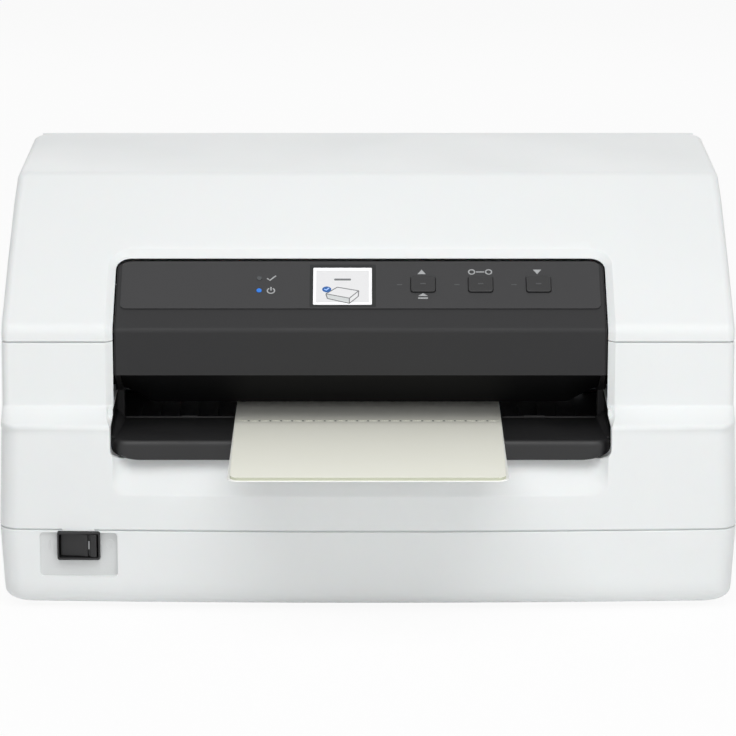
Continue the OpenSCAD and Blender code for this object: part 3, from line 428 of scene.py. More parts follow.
# Inside, the tub is lined with a black sheet of painted shade, so that nothing pale shows beside the tray and
# the slot, where the bay lies in deep shade. It is dead matt, with a little bumpy grain like orange peel
# about 1 mm across.
lining_shade_black, tree, place = new_material("painted_shade_black_lining")
peel = add(tree, "ShaderNodeTexNoise", {"Scale": 900.0, "Detail": 2.0}, {"Vector": place})
surface(tree, {"IOR": 1.5, "Roughness": 0.7, "Specular IOR Level": 0.1},
        (peel.outputs["Fac"], "#121213", "#161617"), relief=(peel.outputs["Fac"], 0.3, 0.00005))

lining = prism("bay_painted_shade_lining", bay_outline(-0.05) + bay_outline(-0.3)[::-1], "y", 11.9, 61.9)
finish_piece(lining, lining_shade_black, "printer", ["middle_case"])

# A tongue of the collar reaches down over the mains switch and closes the seam there.
tongue_line = ((-0.03, 43.5), (-0.03, 45.1), (0.2, 45.6), (2.4, 45.8), (2.4, 43.5))
tongue = loft("switch_tongue", [[(x, belly(x) + deep, z) for deep, z in tongue_line]
                                for x in (-160.8, -157, -152, -147, -143.5)])
finish_piece(tongue, white_abs, "printer", ["middle_case"])

# ---------------------------------------------------------------------------------------------------
# Front tray
# A black ABS shelf with a deep rolled lip and rounded front corners, clipped into the bay. Low rims
# rise along its two ends towards the slot and keep the booklet between them.
tray_left, tray_right, tray_front, tray_back = bay_left + 0.3, bay_right - 0.3, 4.0, 53.0
tray_top, tray_low, top_roll, low_roll, end_tuck = 92.2, 87.4, 2.6, 5.7, 8.3

black_abs, tree, place = new_material("black_abs_textured")
grain = add(tree, "ShaderNodeTexNoise", {"Scale": 1900.0, "Detail": 4.0, "Roughness": 0.65},
            {"Vector": place})
rubbed = add(tree, "ShaderNodeTexNoise", {"Scale": 40.0, "Detail": 5.0}, {"Vector": place})
surface(tree, {"IOR": 1.53, "Specular IOR Level": 0.4}, (grain.outputs["Fac"], "#1c1c1d", "#232324"),
        gloss=(rubbed.outputs["Fac"], 0.42, 0.56), relief=(grain.outputs["Fac"], 0.3, 0.00006))


def tray_ring(z, inset, tuck=0.0, back=tray_back):
    """Outline of the tray from above, its front corners rounded; tuck draws its ends in."""
    left, right, front = tray_left + inset + tuck, tray_right - inset - tuck, tray_front + inset
    r, squeeze = max(8.5 - inset, 1.0), 1.15
    ring = (arc(left + r, front + r * squeeze, r, 180, 270, 8, squeeze)
            + arc(right - r, front + r * squeeze, r, 270, 360, 8, squeeze))
    return [(x, y, z) for x, y in ring] + [(right, back, z), (left, back, z)]


rings = []
for a, inset in ((90, 1.1), (80, 0.5), (70, 0.15), (55, 0), (40, 0), (25, 0), (10, 0), (0, 0)):
    turn = math.radians(a)
    rings.append(tray_ring(tray_low - low_roll * math.sin(turn), inset, end_tuck * (1 - math.cos(turn))))
for a in range(90, -1, -15):
    turn = math.radians(a)
    rings.append(tray_ring(tray_top - top_roll * (1 - math.cos(turn)), top_roll * (1 - math.sin(turn))))
tray = loft("front_tray", rings + [tray_ring(tray_top, 3.2)])
hollow_levels = ((bay_floor - 1, end_tuck), (tray_low, 0), (tray_top - top_roll, 0))
carve(tray, loft("hollow", [tray_ring(z, 3.5, tuck, tray_back + 1) for z, tuck in hollow_levels]))
finish_piece(tray, black_abs, "printer", ["front_tray"], edge=0.25)

for name, way, x in (("left", 1, tray_left), ("right", -1, tray_right)):
    rings = []
    for y, rise in ((12.5, 0.1), (20, 1.6), (30, 2.8), (42, 3.6), (53, 4.0)):
        top, foot = x + way * 1.1, x + way * (1.6 + rise * 0.9)
        rings.append([(x, y, tray_top - 2), (x, y, tray_top + rise), (top, y, tray_top + rise),
                      (foot, y, tray_top - 0.1), (foot, y, tray_top - 2)])
    rim = loft(f"tray_rim_{name}", rings)
    finish_piece(rim, black_abs, "printer", ["front_tray"], edge=0.3)

# A low bead stands along the back edge on both sides of the booklet, with a step for the fingernail.
for name, stations in (
        ("left", ((-129.5, 0), (-99.6, 0), (-99.2, 0.45), (-91.8, 0.45), (-91.4, 0), (-72, 0))),
        ("right", ((72, 0), (83, 0), (83.4, 0.45), (94.2, 0.45), (94.6, 0), (121.5, 0)))):
    bead = loft(f"tray_bead_{name}", [
        [(x, y, tray_top + z) for y, z in (
            (52.2, -0.5), (52.3, 0.3 + up), (52.7, 0.75 + up), (53.4, 0.75 + up), (53.4, -0.5))]
        for x, up in stations])
    finish_piece(bead, black_abs, "printer", ["front_tray"], edge=0.12)

# ---------------------------------------------------------------------------------------------------
# Paper slot visor
# A black funnel that leads from the foot of the panel moulding back and down to the paper slot. Its
# lower edge is level over the booklet and rises at both ends to let the side pillars show.
visor_front, visor_top, visor_foot, visor_wall = upper_front + 5.8, 131.0, 123.5, 2
slot_back, slot_top, opening_middle = 56.0, 100.4, -4.0
ends = [(notch_left + 3.2, 8.2), (notch_left + 5.4, 7.6), (notch_left + 12, 4.2), (-115.5, 0.5),
        (-113.5, 0.05), (-112, 0.0)]
ends += [(2 * opening_middle - x, rise) for x, rise in reversed(ends)]
rings = []
for x, rise in ends:
    low = slot_top + rise
    rings.append([(x, y, z) for y, z in (
        (visor_front, visor_top), (visor_front, visor_foot), (slot_back - 1.5, low + 0.2),
        (slot_back - 1.0, low), (slot_back, low), (slot_back, low + 3),
        (visor_front + visor_wall, visor_foot + 3.3), (visor_front + visor_wall, visor_top))])
visor = loft("paper_slot_visor", rings)

# Black polycarbonate with a deep eroded texture, coloured darker than the other black plastics as painted
# shade, so that the slot reads as a hole.
slot_shade_black, tree, place = new_material("black_polycarbonate_painted_shade")
grain = add(tree, "ShaderNodeTexNoise", {"Scale": 1500.0, "Detail": 4.0}, {"Vector": place})
surface(tree, {"IOR": 1.53, "Roughness": 0.72, "Specular IOR Level": 0.06},
        (grain.outputs["Fac"], "#101011", "#131314"), relief=(grain.outputs["Fac"], 0.4, 0.00006))
finish_piece(visor, slot_shade_black, "printer", ["paper_slot_visor"], edge=0.2)

# ---------------------------------------------------------------------------------------------------
# Panel housing
# The dark grey ABS moulding that fills the opening: it runs down the control face, over the bend and
# down to the slot, with black cheeks and pillars at its ends that stand in the bay.
panel_depth, housing_thick, housing_foot = 3.3, 2.5, 123.5
foot_s = bend_end - (bend_foot - housing_foot)

dark_abs, tree, place = new_material("dark_grey_abs_moulded")
grain = add(tree, "ShaderNodeTexNoise", {"Scale": 2400.0, "Detail": 3.0}, {"Vector": place})
flow = add(tree, "ShaderNodeTexNoise", {"Scale": 22.0, "Detail": 3.0}, {"Vector": place})
surface(tree, {"IOR": 1.53, "Specular IOR Level": 0.2}, (flow.outputs["Fac"], "#29292a", "#2d2d2e"),
        gloss=(flow.outputs["Fac"], 0.45, 0.55), relief=(grain.outputs["Fac"], 0.2, 0.00004))

button_x, button_s, button_wide, button_long = (29.1, 59.5, 90.1), 27.0, 12.9, 11.5
lens_x, lens_s, lens_radius = -57.5, (22.6, 31.6), 1.4
screen_x, screen_s = (-29.0, 2.1), (12.3, 39.7)


def face_plugs(name, outlines, low, high):
    """Prisms that stand square on the control face, all in one piece; each outline is pairs of x and s."""
    points, faces = [], []
    for outline in outlines:
        a, n = len(points), len(outline)
        points += [on_front(x, s, deep) for deep in (low, high) for x, s in outline]
        faces += [tuple(range(a, a + n)), tuple(range(a + n, a + 2 * n))]
        faces += [(a + i, a + (i + 1) % n, a + n + (i + 1) % n, a + n + i) for i in range(n)]
    return mesh_of(name, points, faces)


def button_outline(x, grow, radius):
    """A button seen square on, made larger all round by grow."""
    wide, long = button_wide / 2 + grow, button_long / 2 + grow
    return rounded(x - wide, x + wide, button_s - long, button_s + long, radius)


def panel_holes(play):
    """Cutters for what the panel holds: three buttons, the screen and two lamps."""
    outlines = [button_outline(x, play, 1.6) for x in button_x] + [rounded(*screen_x, *screen_s, 0.8)]
    outlines += [arc(lens_x, s, lens_radius, 0, 352.5, 24) for s in lens_s]
    return [face_plugs("hole", [outline], -2, 10) for outline in outlines]


housing_edges = (notch_left + 1.0, notch_right - 1.0, notch_up - 1.0, 7.2)
levels = [foot_s, foot_s + 0.4, foot_s + 1] + bend_levels + [5, 20, 36]
housing = sweep("panel_housing", [
    (panel_depth + deep, rungs(*housing_edges, grow, levels))
    for deep, grow in ((housing_thick, 0), (0.9, 0), (0.4, -0.12), (0.1, -0.45), (0, -0.95))])
carve(housing, *panel_holes(0.25))
finish_piece(housing, dark_abs, "printer", ["panel_housing"], edge=0.15)

cheek_line = [on_front(0, s, panel_depth + 1)[1:] for s in [foot_s] + bend_levels + [44.0]]
cheek_line += [(62, 130), (62, 107), (54, 107)]
for name, x in (("left", notch_left + 0.6), ("right", notch_right - 3.1)):
    cheek = prism(f"panel_cheek_{name}", cheek_line, "x", x, x + 2.5)
    finish_piece(cheek, black_abs, "printer", ["panel_housing"])
for name, x in (("left", bay_left + 0.3), ("right", bay_right - 4.8)):
    pillar = prism(f"panel_pillar_{name}", rounded(x, x + 4.5, 54, 60, 0.8, 3), "z", bay_floor, 131)
    finish_piece(pillar, dark_abs, "printer", ["panel_housing"])

# ---------------------------------------------------------------------------------------------------
# Panel plate
# A film of textured polycarbonate, 0.6 mm thick with its support, bonded to the sloped part of the
# housing. Matt, a little lighter than the moulding; small tallies beside the buttons are printed on it.
plate_left, plate_right, plate_s, plate_thick = -130.4, 122.5, (9.7, 43.7), 0.6

film, tree, place = new_material("polycarbonate_film")
grain = add(tree, "ShaderNodeTexNoise", {"Scale": 3000.0, "Detail": 2.0}, {"Vector": place})
cloud = add(tree, "ShaderNodeTexNoise", {"Scale": 18.0, "Detail": 2.0}, {"Vector": place})
surface(tree, {"IOR": 1.58, "Roughness": 0.52, "Specular IOR Level": 0.2},
        (cloud.outputs["Fac"], "#363637", "#3a3a3b"), relief=(grain.outputs["Fac"], 0.15, 0.00003))

film_top = panel_depth - plate_thick
plate_line = rounded(plate_left, plate_right, *plate_s, 3.0)
plate = face_plugs("panel_plate", [plate_line], panel_depth, film_top)
carve(plate, *panel_holes(0.25))
finish_piece(plate, film, "printer", ["panel_plate"], edge=0.12)

# Screen-printed ink: a dead matt pale grey layer that breaks up a little at its edges. It draws plain signs:
# up, link and down over the keys, eject under the first, a tick and power by the lamps. It also makes a
# painted glint on the rocker of the mains switch.
ink, tree, place = new_material("screen_printed_ink")
mesh_mark = add(tree, "ShaderNodeTexNoise", {"Scale": 2200.0, "Detail": 3.0}, {"Vector": place})
surface(tree, {"IOR": 1.5, "Roughness": 0.7, "Specular IOR Level": 0.2},
        (mesh_mark.outputs["Fac"], "#9c9e9f", "#b4b6b7"), relief=(mesh_mark.outputs["Fac"], 0.2, 0.00002))

# The same ink in a darker grey, for the small dashes beside the keys; the dash on each key is a painted
# highlight on its low tactile nub.
faint_ink_and_nub_highlight, tree, place = new_material("printed_ink_dark_and_nub_highlight")
mesh_mark = add(tree, "ShaderNodeTexNoise", {"Scale": 2200.0, "Detail": 3.0}, {"Vector": place})
surface(tree, {"IOR": 1.5, "Roughness": 0.7, "Specular IOR Level": 0.2},
        (mesh_mark.outputs["Fac"], "#4f5051", "#5b5c5d"))


def stroke(path, wide):
    """A line of even width along a path, as one outline."""
    left, right = [], []
    for i, (x, s) in enumerate(path):
        (x0, s0), (x1, s1) = path[max(i - 1, 0)], path[min(i + 1, len(path) - 1)]
        long = math.hypot(x1 - x0, s1 - s0)
        dx, ds = (s0 - s1) / long * wide / 2, (x1 - x0) / long * wide / 2
        left.append((x + dx, s + ds))
        right.append((x - dx, s - ds))
    return left + right[::-1]


signs = [[(26.2, 34.6), (30.6, 34.6), (28.4, 37.9)], [(87.4, 37.9), (91.8, 37.9), (89.6, 34.6)],
         stroke([(57.2, 36.2), (61.6, 36.2)], 0.75),
         stroke([(-53.4, 31.5), (-51.9, 30.1), (-48.7, 33.4)], 0.8),
         [(26.4, 18.6), (31.6, 18.6), (29.0, 20.7)], rounded(26.4, 31.6, 16.6, 17.6, 0.2, 2),
         stroke([(-51.2, 22.6), (-51.2, 25.2)], 0.7)]
signs += [stroke(arc(x, 36.2, 1.6, a, a + 175, 12), 0.7) for x in (54.9, 63.9) for a in (0, 180)]
signs += [stroke(arc(-51.2, 22.5, 1.9, 120, 420, 20), 0.7)]
signs = face_plugs("panel_signs", signs, film_top + 0.05, film_top - 0.03)
finish_piece(signs, ink, "printer")
dashes = [rounded(x - 1.4, x + 1.4, 26.6, 27.3, 0.2, 2) for x in (16.7, 47.0, 77.1)]
dashes = face_plugs("panel_dashes", dashes, film_top + 0.05, film_top - 0.03)
finish_piece(dashes, faint_ink_and_nub_highlight, "printer")

# ---------------------------------------------------------------------------------------------------
# Display
# A small backlit liquid crystal screen. A black border is printed round its window; the glass shows a
# pale page with a plain line, a blue dot with a tick on it and the outline of a box.
border_ink, tree, place = new_material("screen_printed_border")
mesh_mark = add(tree, "ShaderNodeTexNoise", {"Scale": 2000.0, "Detail": 2.0}, {"Vector": place})
surface(tree, {"IOR": 1.5, "Roughness": 0.5, "Specular IOR Level": 0.2},
        (mesh_mark.outputs["Fac"], "#292a2a", "#2d2e2e"))
border_line = rounded(-30.8, 4.2, 10.6, 41.7, 0.6, 3)
border = face_plugs("screen_border", [border_line], film_top + 0.1, film_top - 0.02)
carve(border, face_plugs("window", [rounded(*screen_x, *screen_s, 0.5)], -2, 10))
finish_piece(border, border_ink, "printer")


def screen_glass(name, pale, dark, power):
    """Backlit glass of one colour, a little uneven where the light guide's dots show through."""
    made, tree, place = new_material(name)
    dots = add(tree, "ShaderNodeTexNoise", {"Scale": 900.0, "Detail": 1.0}, {"Vector": place})
    tint = add(tree, "ShaderNodeMix", {"data_type": "RGBA", 6: linear(pale), 7: linear(dark)},
               {0: dots.outputs["Fac"]})
    skin = add(tree, "ShaderNodeBsdfPrincipled",
               {"IOR": 1.5, "Roughness": 0.35, "Specular IOR Level": 0.2, "Emission Strength": power},
               {"Base Color": tint.outputs[2], "Emission Color": tint.outputs[2]})
    add(tree, "ShaderNodeOutputMaterial", links={"Surface": skin.outputs[0]})
    return made


glow = screen_glass("lcd_glass_lit", "#fcfdff", "#ffffff", 0.14)
glow_page = screen_glass("lcd_glass_page", "#e0e0e1", "#e4e4e5", 0.04)
glow_grey = screen_glass("lcd_glass_grey", "#6f7172", "#7a7c7d", 0.1)
glow_pale = screen_glass("lcd_glass_pale", "#c4c7c7", "#cdd0d0", 0.1)
glow_blue = screen_glass("lcd_glass_blue", "#2c5a9c", "#34649f", 0.15)
glow_sky = screen_glass("lcd_glass_sky", "#9dbcf2", "#a9c5f4", 0.15)

glass = panel_depth - 0.2
x0, x1, s0, s1 = screen_x[0] + 0.05, screen_x[1] - 0.05, screen_s[0] + 0.05, screen_s[1] - 0.05
field = face_plugs("lcd_field", [rounded(x0, x1, s0, s1, 0.4)], 10, glass)
finish_piece(field, glow, "printer", ["lcd_display"])

box_side = [(-22.2, 20.6), (-9.8, 17.4), (-9.8, 13.6), (-21.4, 17.2)]
box_lines = [box_side + box_side[:1], [(-22.2, 20.6), (-16.2, 25.4), (-4.9, 22.8), (-9.8, 17.4)],
             [(-4.9, 22.8), (-5.1, 18.8), (-9.8, 13.6)]]
box_strokes = [stroke([a, b], 0.55) for path in box_lines for a, b in zip(path, path[1:])]
for name, material, height, outlines in (
        ("page", glow_page, 0.02, [rounded(x0 + 1.5, x1 - 1.5, s0 + 1.9, s1 - 1.9, 0.4, 3)]),
        ("line", glow_grey, 0.04, [rounded(-17.9, -9.0, 30.3, 31.7, 0.5, 3)]),
        ("box_side", glow_pale, 0.03, [box_side]),
        ("box_lines", glow_grey, 0.045, box_strokes),
        ("dot", glow_blue, 0.06, [[(-21.8 + 2.4 * x, 23.8 + 2.1 * s) for x, s in arc(0, 0, 1, 0, 345, 23)]]),
        ("tick", glow_sky, 0.08, [stroke([(-23.0, 24.0), (-22.1, 23.2), (-20.6, 24.8)], 0.75)])):
    mark = face_plugs(f"lcd_{name}", outlines, glass + 0.05, glass - height)
    finish_piece(mark, material, "printer")

# ---------------------------------------------------------------------------------------------------
# Indicator lenses
# Two light pipes of clear acrylic, moulded and polished, with a faint haze inside. They stand a little
# out of the film; the upper one is off and the lower one is lit blue.
for name, s, pale, dark, power in (("upper", lens_s[1], "#4a4d4f", "#444749", 0.0),
                                   ("lower", lens_s[0], "#1a6cc8", "#1764ba", 0.45)):
    clear, tree, place = new_material(f"acrylic_{name}")
    haze = add(tree, "ShaderNodeTexNoise", {"Scale": 700.0, "Detail": 2.0}, {"Vector": place})
    tint = add(tree, "ShaderNodeMix", {"data_type": "RGBA", 6: linear(pale), 7: linear(dark)},
               {0: haze.outputs["Fac"]})
    skin = add(tree, "ShaderNodeBsdfPrincipled", {"IOR": 1.49, "Roughness": 0.2, "Emission Strength": power},
               {"Base Color": tint.outputs[2], "Emission Color": tint.outputs[2]})
    add(tree, "ShaderNodeOutputMaterial", links={"Surface": skin.outputs[0]})
    pipe_line = arc(lens_x, s, lens_radius - 0.02, 0, 352.5, 24)
    pipe = face_plugs(f"lens_{name}", [pipe_line], 12, film_top - 0.35)
    finish_piece(pipe, clear, "printer", ["indicator_lenses"], edge=0.15)

# ---------------------------------------------------------------------------------------------------
# Buttons
# Three keys of black ABS that stand 0.9 mm out of the film, each slightly dished for the fingertip.
key_line = ((3.9, 0.8), (2.6, 0.8), (2.55, 0), (-1.1, 0), (-1.35, -0.12), (-1.5, -0.45), (-1.42, -1.6),
            (-1.3, -3.2))
for name, x in zip(("left", "middle", "right"), button_x):
    key = loft(f"button_cap_{name}", [
        [on_front(px, ps, panel_depth + deep) for px, ps in button_outline(x, grow, max(1.4 + grow, 0.3))]
        for deep, grow in key_line])
    finish_piece(key, black_abs, f"button_{name}", [f"button_{name}"], sharp=50)
    # The pale dash on each key is a painted highlight where its tactile nub catches the light.
    dash = rounded(x - 1.5, x + 1.5, button_s - 0.35, button_s + 0.35, 0.2, 2)
    dash = face_plugs(f"button_nub_highlight_{name}", [dash], panel_depth - 1.2, panel_depth - 1.36)
    finish_piece(dash, faint_ink_and_nub_highlight, f"button_{name}")

# ---------------------------------------------------------------------------------------------------
# Rear cover
# The fixed back third of the top, of white ABS, with the groove in which the edge of the cover turns.
hinge_y, hinge_radius, hinge_play, split = 228.5, 4.2, 0.5, 0.4
hinge_z = case_height - hinge_radius

top_levels = [cover_seam + seam_gap + 0.35, 144] + [152 + 5.5 * i for i in range(10)] + [205, 208, 209.7]
bend = arc(0, bend_foot, bend_radius, 180, 90 + slope_degrees, 8)
crest = arc(0, case_height - crest_radius, crest_radius, 90 + slope_degrees, 90, 6)
top_levels += [z for _, z in bend + crest + arc(*crown_corner, 0, 90, 6) + back_line(0)[7:]]


def upper_shell(name):
    """The shell above the seam, before it is parted into cover and rear cover."""
    outer = [case_ring(cover_seam + seam_gap, 0.3)] + rings_at([z for z in top_levels if z > 142.5])
    inner = rings_at([z - wall for z in top_levels if z - wall > cover_seam + 1], wall)[::-1]
    inner += [case_ring(cover_seam + seam_gap, wall)]
    n, top, rows = len(outer[0]), (len(outer) - 1) * len(outer[0]), len(outer) + len(inner)
    points = [p for ring in outer + inner for p in ring]
    faces = []
    for k in range(rows):
        if k != len(outer) - 1:
            a, b = k * n, (k + 1) % rows * n
            faces += [(a + i, a + (i + 1) % n, b + (i + 1) % n, b + i) for i in range(n)]
    faces += [tuple(range(top, top + n)), tuple(range(top + n, top + 2 * n))]
    return mesh_of(name, points, faces)


def slab(name, y0, y1):
    """A cutter for all of the cover that lies between two depths."""
    return prism(name, [(-300, y0), (300, y0), (300, y1), (-300, y1)], "z", 100, 300)


def hinge_bar(name, x0, x1, radius=hinge_radius):
    """A round bar along the line of the hinge."""
    return prism(name, arc(hinge_y, hinge_z, radius, 0, 351, 39), "x", x0, x1)


# The lip behind the groove is cut back, so that the top of the cover clears it when it stands open.
rear = upper_shell("rear_cover_shell")
lip_cut = [(hinge_y + y, hinge_z + z) for y, z in ((-1, 1), (4.3, 1), (3.2, 4.4), (3.2, 6), (-1, 6))]
groove = hinge_bar("groove", -300, 300, hinge_radius + hinge_play)
lip_tool = prism("open_lid_room", lip_cut, "x", -300, 300)
carve(rear, slab("front_part", -50, hinge_y + split), groove, lip_tool)
finish_piece(rear, white_abs, "printer", ["rear_cover"])

# ---------------------------------------------------------------------------------------------------
# Top cover
# The hinged lid, of the same white ABS: the sloped control face and the flat top. Its back edge is a
# round bar that turns in the groove of the rear cover, on two steel pins held by the knuckles.
cover = upper_shell("top_cover_shell")
carve(cover, slab("back_part", hinge_y - split, 400), opening_tool())
finish_piece(cover, white_abs, "top_cover", ["top_cover"])
knuckles = (("left", -136), ("right", 136))
round_edge = hinge_bar("cover_round_edge", -185.4, 185.4)
carve(round_edge, *[hinge_bar("gap", x - 6, x + 6, hinge_radius + 1) for _, x in knuckles])
finish_piece(round_edge, white_abs, "top_cover", ["top_cover"])
for name, x in knuckles:
    knuckle = hinge_bar(f"hinge_knuckle_{name}", x - 5.5, x + 5.5)
    finish_piece(knuckle, white_abs, "printer", ["rear_cover"])

# ---------------------------------------------------------------------------------------------------
# Mains switch
# A black rocker switch of the snap-in kind. Its bezel stands in the recess; the rocker turns about an
# upright pin and has its left end pressed in.
switch_x, switch_low, switch_high = -152.0, 27.9, 43.4
bezel_half, well_half = 11.25, 10.4
rings = []
for y, g in ((11.4, 0), (2.2, 0), (1.75, 0.2), (1.6, 0.6)):
    half = bezel_half - g
    line = rounded(switch_x - half, switch_x + half, switch_low + g, switch_high - g, 1.2, 4)
    rings.append([(x, y, z) for x, z in line])
bezel = loft("power_switch_bezel", rings)
well = rounded(switch_x - well_half, switch_x + well_half, switch_low + 1.3, switch_high - 1.2, 0.6, 3)
carve(bezel, prism("well", well, "y", -1, 10.6))
finish_piece(bezel, black_abs, "printer", ["power_switch"])
tip, pin_depth = math.radians(-8), 4.8


def tipped(x, y, z):
    """A point on the rocker, turned about its pin to where the switch rests."""
    return (switch_x + x * math.cos(tip) - y * math.sin(tip),
            pin_depth + x * math.sin(tip) + y * math.cos(tip), switch_low + z)


face = [(-9.8, -1.1), (-9.2, -1.6), (-6, -1.6), (-3, -1.4), (0, -1.3), (2.6, -1.5), (4.5, -1.95),
        (5.0, -1.95), (5.2, -0.8), (6.3, -0.8), (6.5, -2.1), (9.2, -2.4), (9.8, -2.0), (9.8, 0), (3, 3),
        (-3, 3), (-9.8, 0)]
rocker = loft("power_rocker_cap", [[tipped(x * g, y + d, z) for x, y in face] for z, g, d in (
    (1.6, 0.97, 0.35), (1.9, 1, 0.0), (13.7, 1, 0.0), (14.0, 0.97, 0.35))])
finish_piece(rocker, black_abs, "power_rocker", ["power_rocker"], edge=0.12)
# A small bar of pale ink in the grip groove is a painted glint on the rocker.
glint_line = ((5.25, -0.75), (5.95, -0.75), (5.95, -1.3), (5.25, -1.3))
rocker_glint = loft("power_rocker_painted_glint", [[tipped(x, y, z) for x, y in glint_line] for z in (5.8, 10.0)])
finish_piece(rocker_glint, ink, "power_rocker")

# The floor of the recess has a coarser spark-eroded texture, and its colour is darkened as painted shade of
# the recess. An I and an O, the common signs for on and off, stand up from it beside the switch.
coarse_shaded_abs, tree, place = new_material("white_abs_coarse_painted_shade")
grain = add(tree, "ShaderNodeTexNoise", {"Scale": 1100.0, "Detail": 4.0, "Roughness": 0.7}, {"Vector": place})
surface(tree, {"IOR": 1.53, "Specular IOR Level": 0.25}, (grain.outputs["Fac"], "#d6d8d8", "#dddfdf"),
        gloss=(grain.outputs["Fac"], 0.55, 0.68), relief=(grain.outputs["Fac"], 0.35, 0.00008))

left, right, low, high = recess_box
floor_line = rounded(left - 0.2, right + 0.2, low - 0.2, high + 0.2, 2.4)
recess_floor = prism("switch_recess_floor", floor_line, "y", 5.1, 8.0)
carve(recess_floor, prism("doorway", rounded(*switch_hole, 0.8), "y", -1, 30))
finish_piece(recess_floor, coarse_shaded_abs, "printer", ["base_case"])
on_sign = prism("switch_sign_on", rounded(-167.9, -167.1, 33.6, 38.0, 0.3, 3), "y", 4.75, 5.2)
finish_piece(on_sign, coarse_shaded_abs, "printer", ["base_case"], edge=0.1)
for name, start in (("upper", 0), ("lower", 180)):
    ring = stroke([(-135.9 + 1.9 * x, 35.8 + 2.4 * z) for x, z in arc(0, 0, 1, start, start + 180, 14)], 0.65)
    off_sign = prism(f"switch_sign_off_{name}", ring, "y", 4.75, 5.2)
    finish_piece(off_sign, coarse_shaded_abs, "printer", ["base_case"])

# ---------------------------------------------------------------------------------------------------
# Passbook
# The open booklet in the tray: two packs of cream leaves in a coated white cover, sewn along the fold
# that lies over the middle of the tray. Its corners are die-cut round.
book_half, book_front, book_back, fold_y = 71.0, -75.5, 148.5, 36.5
book_z, book_thick, cover_corner, leaf_corner = 92.3, 2.4, 5.8, 5.2

# Printing paper, calendered: cream, a soft even sheen, with fibre grain and faint cloudiness.
paper, tree, place = new_material("paper_calendered")
fibre = add(tree, "ShaderNodeTexNoise", {"Scale": 1500.0, "Detail": 5.0, "Roughness": 0.7}, {"Vector": place})
mottle = add(tree, "ShaderNodeTexNoise", {"Scale": 60.0, "Detail": 3.0}, {"Vector": place})
surface(tree, {"IOR": 1.5, "Roughness": 0.42, "Specular IOR Level": 0.9, "Sheen Weight": 0.4},
        (mottle.outputs["Fac"], "#fffff2", "#fdfdee"), relief=(fibre.outputs["Fac"], 0.2, 0.00004))

# The cut edges of the leaves: duller and greener, in layers, and darker than the faces as painted shade. Real
# leaves are 0.1 mm; drawn at 0.4 mm.
cut_paper_shaded, tree, place = new_material("paper_edges_painted_shade")
layers = add(tree, "ShaderNodeTexWave",
             {"bands_direction": "Z", "Scale": 400.0, "Distortion": 2.5, "Detail": 3.0}, {"Vector": place})
surface(tree, {"IOR": 1.5, "Roughness": 0.8, "Specular IOR Level": 0.2},
        (layers.outputs["Fac"], "#c3c7b0", "#d0d3bf"), relief=(layers.outputs["Fac"], 0.3, 0.00006))

# Cover board, coated: whiter and smoother than the leaves.
board, tree, place = new_material("cover_board_coated")
fibre = add(tree, "ShaderNodeTexNoise", {"Scale": 700.0, "Detail": 3.0}, {"Vector": place})
surface(tree, {"IOR": 1.5, "Roughness": 0.35, "Specular IOR Level": 0.6},
        (fibre.outputs["Fac"], "#ffffff", "#fafaf6"))

rings = []
for z, g in ((0, 0.1), (0.1, 0), (0.5, 0), (0.6, 0.1)):
    line = rounded(g - book_half, book_half - g, book_front + g, book_back - g, cover_corner)
    rings.append([(x, y, book_z + z) for x, y in line])
cover_sheet = loft("passbook_cover", rings)
finish_piece(cover_sheet, board, "passbook", ["passbook"])


def leaf_half(y, end, out):
    """Half the width of a pack of leaves: narrower towards its outer end, and rounded at the corners."""
    far = abs(end - y)
    half = book_half - 0.35 - out * (1 - far / abs(end - fold_y))
    round_off = max(0.0, (leaf_corner - far) / leaf_corner)
    return half - leaf_corner * (1 - math.sqrt(1 - round_off ** 2))


for name, end, out, way in (("near", book_front + 0.25, 1.15, 1), ("far", book_back - 0.25, 0.3, -1)):
    stations = [leaf_corner * (1 - math.cos(math.radians(a))) for a in range(0, 91, 10)]
    stations += [7 + 7.5 * i for i in range(13)]
    stations += [abs(end - fold_y) - d for d in (8, 6, 4.6, 3.4, 2.4, 1.6, 1.0, 0.5, 0.15)]
    rings = []
    for far in stations:
        y = end + way * far
        half, gap = leaf_half(y, end, out), abs(y - fold_y)
        valley, droop = 0.22 * math.exp(-(gap / 3.0) ** 1.3), 0.25 * max(0.0, 1 - far / 30) ** 2
        low, top = book_z + 0.5, book_z + book_thick - valley - droop
        rings.append([(x, y, z) for x, z in ((-half, low), (-half, top - 0.12), (-half + 0.15, top),
                                             (half - 0.15, top), (half, top - 0.12), (half, low))])
    pack = loft(f"passbook_leaves_{name}", rings)
    finish_piece(pack, paper, "passbook", ["passbook"])
    # The upright faces of the pack take the cut edges and their painted shade.
    pack.data.materials.append(cut_paper_shaded)
    for facet in pack.data.polygons:
        facet.material_index = 1 if abs(facet.normal.z) < 0.35 else 0

# Sewing thread, spun cotton: short pale stitches down in the fold, with a needle hole between them.
thread, tree, place = new_material("cotton_thread_spun")
twist = add(tree, "ShaderNodeTexWave", {"bands_direction": "DIAGONAL", "Scale": 500.0, "Distortion": 1.0},
            {"Vector": place})
surface(tree, {"IOR": 1.5, "Roughness": 0.85, "Sheen Weight": 0.3},
        (twist.outputs["Fac"], "#efeee2", "#dddccd"), relief=(twist.outputs["Fac"], 0.4, 0.00008))

# The inside of a needle hole, pierced through the leaves: frayed paper in shadow.
punched, tree, place = new_material("paper_needle_hole")
fibre = add(tree, "ShaderNodeTexNoise", {"Scale": 2000.0, "Detail": 2.0}, {"Vector": place})
surface(tree, {"IOR": 1.5, "Roughness": 0.9}, (fibre.outputs["Fac"], "#565449", "#636155"))

